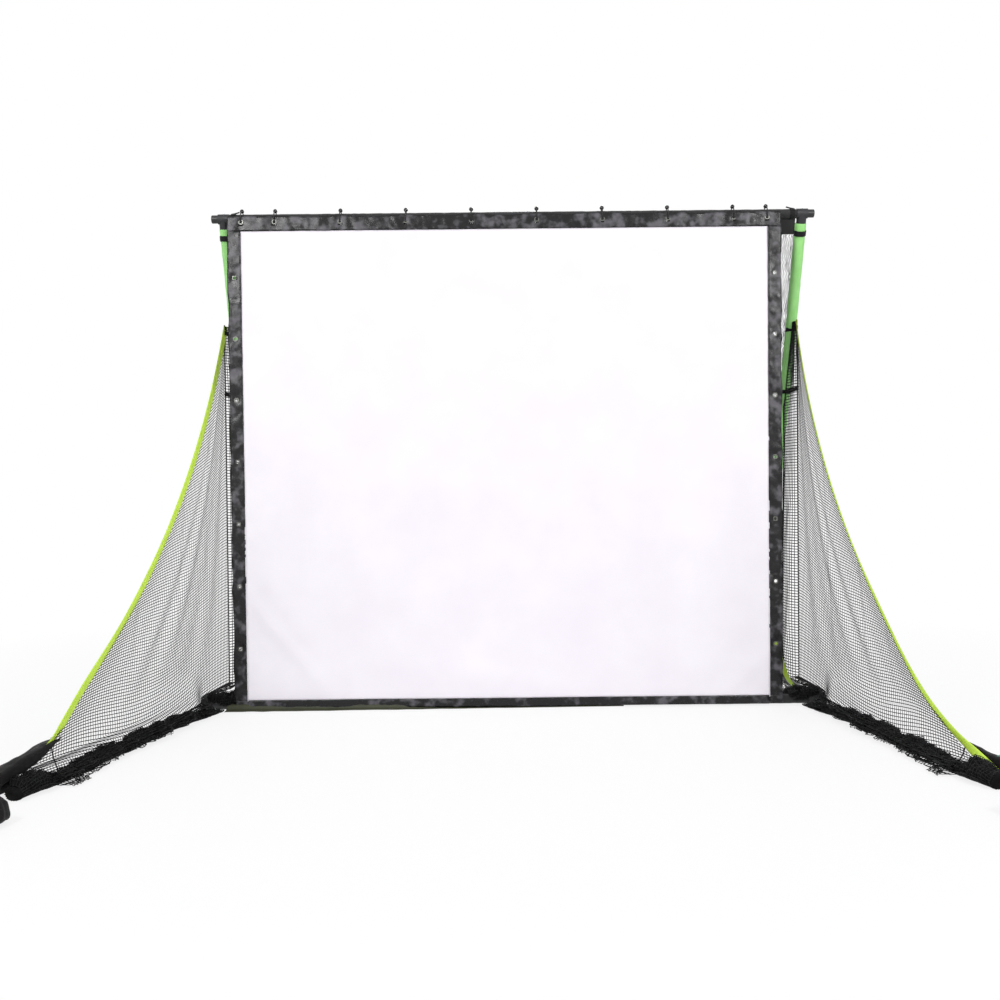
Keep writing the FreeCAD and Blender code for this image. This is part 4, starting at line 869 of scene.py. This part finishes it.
for side in sides:
    own, title = sideNet[side], side.title()
    edgeS, edgeZ = sagEdge(side, sideNet["webbing"] * sideNet["inset"])
    outward = turnSide(1.0, 0.0, 0.0, side)
    # rows leave the cord at even heights and run to the webbing
    low = -sideNet["extra"]
    heights = np.arange(0.004 + low, sideNet["height"] - 0.05, sideNet["row"])
    u = shares(84)[None, :]
    rows = hangSide(u, rowHeight(u, heights[:, None]), side)
    # uprights: even steps along the foot, drawn together at the folds, running up until they meet the webbing
    count = int(edgeS[-1] / sideNet["upright"])
    start = (np.arange(count + 1) / count)[:, None]
    top = np.interp(edgeS[-1] * start ** (1 / (1 - sideNet["fan"])), edgeS, edgeZ)
    raw = low + (top - low) * shares(150)[None, :]
    spread = np.maximum(np.interp(-raw, -edgeZ, edgeS) / edgeS[-1], 0.002)
    moved = start
    for middle, width, pull in own["gather"]:
        moved = moved - pull * ease(raw, 0.1, 0.6) * (start - middle) * bell((start - middle) / width)
    uprights = hangSide(np.clip(moved * spread ** (sideNet["fan"] - 1), 0, 1), raw, side)
    thin = sideNet["thin"] * np.clip(spread ** 0.5, 0.45, 1)
    strands = [tubeRings(rows, outward, sideNet["strand"]), tubeRings(uprights, outward, thin)]
    netting = ringPiece("sideNet" + title, strands, "nylonTwine", "side_net_" + side)
    # lime webbing on the sagging edge; the left one faces the front above and turns edge-on over the bag, the right
    # one is seen nearly edge-on and turns to the front over the bag
    s, z = sagEdge(side, sideNet["webbing"] / 2)
    slopeS, slopeZ = unit(join(np.gradient(s), np.gradient(z))).T
    first, turn, startTurn, endTurn, last, startLast, endLast = own["twist"]
    twist = first + turn * ease(s, startTurn, endTurn) + last * ease(s, startLast, endLast)
    twist = twist + 0.08 * softNoise(s, 0.0, 0.2, 111)
    out = turnSide(np.cos(twist), -slopeZ * np.sin(twist), slopeS * np.sin(twist), side)
    wide = turnSide(-np.sin(twist), -slopeZ * np.cos(twist), slopeS * np.cos(twist), side)
    rings = ribbonRings(placeSide(edgeBow(s, side), s, z, side), wide, out, sideNet["webbing"], sideNet["thick"])
    webbing = ringPiece("sideWebbing" + title, rings, "limeWebbing", "side_webbing_" + side)
    # bunched foot: a dark lumpy roll on the floor inside the net, which swings in at its back end
    t, hem = shares(230), roll["hem"]
    s = hem["start"] + (own["end"] - hem["short"]) * t
    x = hem["x"] - hem["inward"] * (1 - ease(s, hem["start"], 0.62)) + hem["wander"] * softNoise(s, 0.0, 0.13, 124)
    taper = hump(np.clip(t, 0.015, 0.985)) ** 0.25
    swell = ease(s, own["end"] - 0.06, own["end"] + 0.02)
    foot = bunchPieces("hem", x, s, (hem["half"] + hem["swellHalf"] * swell) * taper,
                       (hem["tall"] + hem["swellTall"] * swell) * taper, 121, side, "side_hem_" + side)
    # netting caught up over the end of the bottom bar
    t, over = shares(60), roll["caught"]
    taper = hump(np.clip(t, 0.04, 0.96)) ** 0.4
    caught = bunchPieces("caught", over["x"] - over["across"] * t, over["s"] - over["forward"] * t,
                         over["half"] * taper, (over["tall"] + over["swellTall"] * hump(t)) * taper, 141, side,
                         "net_gussets")
    # lacing cord near the front end, tied to the webbing and down to the foot
    t = shares(40)
    s = own["laceS"] + 0.006 * np.sin(3.0 * t) - 0.012 * t
    z = np.interp(s, *sagEdge(side, 0.012)) * (1 - t) + 0.02 * t
    rings = tubeRings(placeSide(-0.006 - 0.02 * t ** 2, s, z, side), outward, sideNet["lace"], 8)
    lace = ringPiece("lace" + title, rings, "bungeeSheath", "side_hem_" + side)
    # gusset: rows and uprights, then the two thick lines of its selvedge
    front = gusset["front"]
    levels = np.arange(gusset["heights"][0] + 0.004, gusset["heights"][-1], sideNet["row"])[:, None]
    rows = gussetPoint(front + (gussetBack(levels) - front) * shares(14), levels, side)
    z = np.linspace(gusset["heights"][0], gusset["heights"][-1], 130)[None, :]
    backs = gussetBack(z)
    uprights = gussetPoint(front + (backs - front) * shares(12)[:, None], z, side)
    inner = np.maximum(backs - gusset["selvedge"] * ease(1.5 - z, 0.0, 0.5), front)
    edges = gussetPoint(np.concatenate([backs, inner]), z, side)
    strands = [tubeRings(rows, outward, gusset["thick"]), tubeRings(uprights, outward, sideNet["strand"]),
               tubeRings(edges, outward, gusset["thick"])]
    piece = ringPiece("netGusset" + title, strands, "nylonTwine", "net_gussets")
print("side nets hung")

# straps from the pole's sleeve to the side net's cord: round the pole, along the gap and round the cord
sideStrap = {"drops": (0.038, 0.33), "width": 0.02, "thickness": 0.0016, "poleR": 0.0262, "eyeR": 0.0042}
for side, sign in sides.items():
    for k, drop in enumerate(sideStrap["drops"]):
        height = sideNet["height"] - drop
        pole = place(sign * poleX, math.tan(poleLean) * (bar["z"] - height), height)
        cord = place(sign * sideNet[side]["cordX"], sideNet["cordY"], height)
        e1 = unit(cord - pole)
        e2 = np.array([-e1[1], e1[0], 0])
        a = np.linspace(0.05, fullTurn - 0.05, 60)[:, None]
        b = np.linspace(3 * math.pi - 0.3, math.pi + 0.3, 24)[:, None]
        line = np.concatenate([pole + sideStrap["poleR"] * (np.cos(a) * e1 + np.sin(a) * e2),
                               cord + sideStrap["eyeR"] * (np.cos(b) * e1 - np.sin(b) * e2)])
        line = np.concatenate([line, line[:1]])
        steps = distances(line)
        line = join(*(np.interp(np.linspace(0, steps[-1], 150), steps, line[:, i]) for i in range(3)))
        out = np.cross(np.gradient(line, axis=0), (0, 0, 1))
        ringPiece("sideStrap" + side.title() + str(k + 1), ribbonRings(line, (0, 0, 1), out, sideStrap["width"],
                  sideStrap["thickness"]), "strapWebbing", "side_net_straps")

# sandbags: sewn pouches of sand slumped on the floor, one outside the net's front end and one further forward inside.
# Each pouch is its nearest x and s, its width, depth and height; each crest is a line of s and z
bag = {"outer": (0.0018, 1.62, 0.15, 0.4, 0.085), "inner": (-0.19, 1.93, 0.14, 0.34, 0.09), "wrinkle": 0.004,
       "slump": 0.16, "pinch": 0.75, "fill": 0.7, "apronEnd": 1.76, "apronWidth": 0.105, "apronFlat": (0.14, 0.36),
       "apronArea": 0.03, "cloth": 0.003, "saddle": (1.845, 2.015), "saddleWidth": 0.13, "binding": (0.009, 0.0042),
       "saddleX": (0.0618, -0.1102), "saddleZ": 0.0895, "trimWidth": 0.02, "handleX": 0.0948, "handleS": 1.82,
       "handle": (0.15, 0.026, 0.03),
       "left": {"tip": 1.425, "inner": -0.013, "drop": 0.82, "bow": 1, "trim": 1.70,
                "crest": ([1.40, 1.5, 1.56, 1.63, 1.70, 1.76], [0.13, 0.13, 0.121, 0.112, 0.097, 0.088])},
       "right": {"tip": 1.40, "inner": 0.005, "drop": 0.7, "bow": 0, "trim": 1.61,
                 "crest": ([1.36, 1.40, 1.45, 1.51, 1.57, 1.62, 1.76],
                           [0.09, 0.09, 0.088, 0.085, 0.08, 0.082, 0.088])}}


# pouch: rings of a superellipse, cosine and sine to the power 0.5, narrowing at its ends and slumped at its top
def pouch(name, box, side, seed):
    x0, s0, wide, deep, tall = box
    t = np.linspace(-1, 1, 60)[:, None]
    a = np.linspace(0, fullTurn, 57)[None, :-1]
    c, b = (np.sign(wave) * np.abs(wave) ** 0.5 for wave in (np.cos(a), np.sin(a)))
    end = 1 - bag["pinch"] * (1 - np.clip(1 - np.abs(t) ** 12, 0, 1) ** 0.4)
    relief = bag["wrinkle"] * (softNoise(t * 0.2, a * 0.03, 0.035, seed)
                               + 0.5 * softNoise(t * 0.2, a * 0.05, 0.017, seed + 1))
    taper = 1 - (1 - end) / 3
    x = x0 + wide / 2 + c * (wide / 2 - 0.003) * (1 - bag["slump"] * ease(b, -0.2, 1.0)) * taper + relief * c
    z = b * (tall / 2 - 0.002) * end * (1 - 0.08 * softNoise(t, 0.0, 0.5, seed + 2) ** 2)
    z = z + (tall / 2) * end + relief * (b > 0)
    rings = placeSide(x, s0 + deep / 2 + t * (deep / 2 - 0.002), np.maximum(z, 0.0015), side)
    piece = ringPiece(name, rings[:, ::sides[side]], "blackOxford", "sandbag_" + side)


# ribbon over a bag, running across it (along x) or along it (along s): it faces out square to its run
def bagRibbon(x, s, z, side, width, thickness, columns=7, runsAcross=True):
    if runsAcross:
        across, normal = turnSide(0.0, 1.0, 0.0, side), turnSide(-np.gradient(z), 0.0, np.gradient(x), side)
    else:
        across, normal = turnSide(1.0, 0.0, 0.0, side), turnSide(0.0, -np.gradient(z), np.gradient(s), side)
    return ribbonRings(placeSide(x, s, z, side), across, normal, width, thickness, columns)


for side, sign in sides.items():
    own, title, straps = bag[side], side.title(), "sandbag_straps_" + side
    pouch("sandbagOuter" + title, bag["outer"], side, 201 + sign)
    pouch("sandbagInner" + title, bag["inner"], side, 211 + sign)
    # apron: a three-cornered flap that rises from the webbing's lower edge to a crest and lies back over the outer
    # pouch, wrapped round the left net's webbing and outside the right one's
    p, q = np.meshgrid(np.linspace(0.02, 1, 50), shares(22), indexing="ij")
    s = own["tip"] + (bag["apronEnd"] - own["tip"]) * p
    web = np.interp(s, *sagEdge(side, sideNet["webbing"] * own["drop"]))
    crest = np.interp(s, *own["crest"])
    x = own["inner"] + (bag["apronWidth"] * p ** 0.75 + 0.005 - own["inner"]) * np.clip(q / 0.8 - 0.25, 0, 1)
    x = x + own["bow"] * edgeBow(s, side) * (1 - q)
    z = web + (crest - web) * ease(q, -0.02, 0.25) - 0.03 * ease(q, 0.4, 1.0) * ease(p, 0.0, 0.5)
    z = z + 0.002 * softNoise(s, x, 0.025, 221)
    apron = sheetPiece("bagApron" + title, [(placeSide(x, s, z, side)[:, ::-sign], join(s, x), None)], bag["cloth"],
                       "blackOxford", straps)
    # fabric bridge over the net's edge, running forward between the pouches, with teal binding along both sides
    t = shares(60)
    x = bag["saddleX"][0] + (bag["saddleX"][1] - bag["saddleX"][0]) * t
    s = bag["saddle"][0] + (bag["saddle"][1] - bag["saddle"][0]) * ease(t, 0.3, 0.7)
    z = bag["saddleZ"] + 0.006 * t + 0.003 * np.sin(t * 9)
    ringPiece("bagSaddle" + title, bagRibbon(x, s, z, side, bag["saddleWidth"], bag["cloth"], 13), "blackOxford",
              straps)
    binding = [bagRibbon(x, s + end * bag["saddleWidth"] / 2, z + 0.0004, side, *bag["binding"]) for end in (-1, 1)]
    # binding across the outer pouch, and its handle
    t = shares(30)
    z = bag["outer"][4] * (1 - 0.08 * (2 * t - 1) ** 2) + 0.0035
    trim = bagRibbon(0.012 + 0.13 * t, own["trim"], z, side, bag["trimWidth"], bag["cloth"])
    ringPiece("bagBinding" + title, binding + [trim], "tealOxford", straps)
    t = shares(60)
    long, rise, wide = bag["handle"]
    z = bag["outer"][4] + 0.002 + rise * hump(t) ** 0.8
    handle = bagRibbon(bag["handleX"], bag["handleS"] + long * (t - 0.5), z, side, wide, bag["cloth"],
                       runsAcross=False)
    ringPiece("bagHandle" + title, handle, "tealOxford", straps)
print("sandbags laid")


# 1 for the camera's rays and the other kinds named, otherwise 0: the greatest of their Light Path values
def seenBy(tree, *kinds):
    path = addNode(tree, "LightPath").outputs
    seen = path["Is Camera Ray"]
    for kind in kinds:
        seen = addNode(tree, "Math", {0: seen, 1: path[kind]}, operation="MAXIMUM").outputs[0]
    return seen


# pale floor and white surroundings; the floor shows whiter from near to far
room = {"floor": "#f6f6f7", "size": 14.0, "fill": 0.5, "key": 150.0, "share": 0.8, "near": 2.2, "far": 4.5}
x, y = np.meshgrid([-room["size"], room["size"]], [-room["size"], room["size"]])
floorMat, tree, shader, coord = startMaterial("paintedFloor", dict(colour=room["floor"], roughness=0.6))
glow = addNode(tree, "Emission", {"Color": (1, 1, 1, 1), "Strength": 1.0})
away = addNode(tree, "VectorMath", {0: coord["Object"]}, operation="LENGTH")
white = addNode(tree, "MapRange", {"Value": away.outputs["Value"], "From Min": room["near"], "From Max": room["far"],
                                   "To Min": room["share"], "To Max": 1.0})
part = addNode(tree, "Math", {0: seenBy(tree, "Is Glossy Ray"), 1: white.outputs[0]}, operation="MULTIPLY")
mixed = addNode(tree, "MixShader", {0: part.outputs[0], 1: shader.outputs[0], 2: glow.outputs[0]})
tree.links.new(mixed.outputs[0], tree.nodes["Material Output"].inputs["Surface"])
buildMesh("floor", join(x, y, 0).reshape(-1, 3), [(np.array([[0, 1, 3, 2]]), np.zeros((1, 4, 2)))], floorMat)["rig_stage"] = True

world = bpy.data.worlds.new("studio")
scene.world = world
world.use_nodes = True
tree = world.node_tree
level = addNode(tree, "MapRange", {"Value": seenBy(tree, "Is Glossy Ray", "Is Transmission Ray"),
                                   "To Min": room["fill"], "To Max": 1.0})
tree.links.new(level.outputs[0], tree.nodes["Background"].inputs["Strength"])
tree.nodes["Background"].inputs["Color"].default_value = (1, 1, 1, 1)

# lamps aim at the screen's middle: place, size and share of the key light
lamps = {"keyLeft": ((-3.2, -4.2, 4.2), 1.3, 1.0), "keyRight": ((3.4, -3.6, 3.6), 1.1, 0.7),
         "back": ((0.5, 4.0, 4.0), 2.0, 0.6)}
for name, (where, size, share) in lamps.items():
    lamp = bpy.data.lights.new(name, "AREA")
    lamp.energy, lamp.size = room["key"] * share, size
    obj = bpy.data.objects.new(name, lamp)
    obj.location = where
    obj.rotation_euler = (Vector((0, 0.2, 1.0)) - Vector(where)).to_track_quat("-Z", "Y").to_euler()
    scene.collection.objects.link(obj)

low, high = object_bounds()
print("visual box", [round(v, 4) for v in low], [round(v, 4) for v in high])
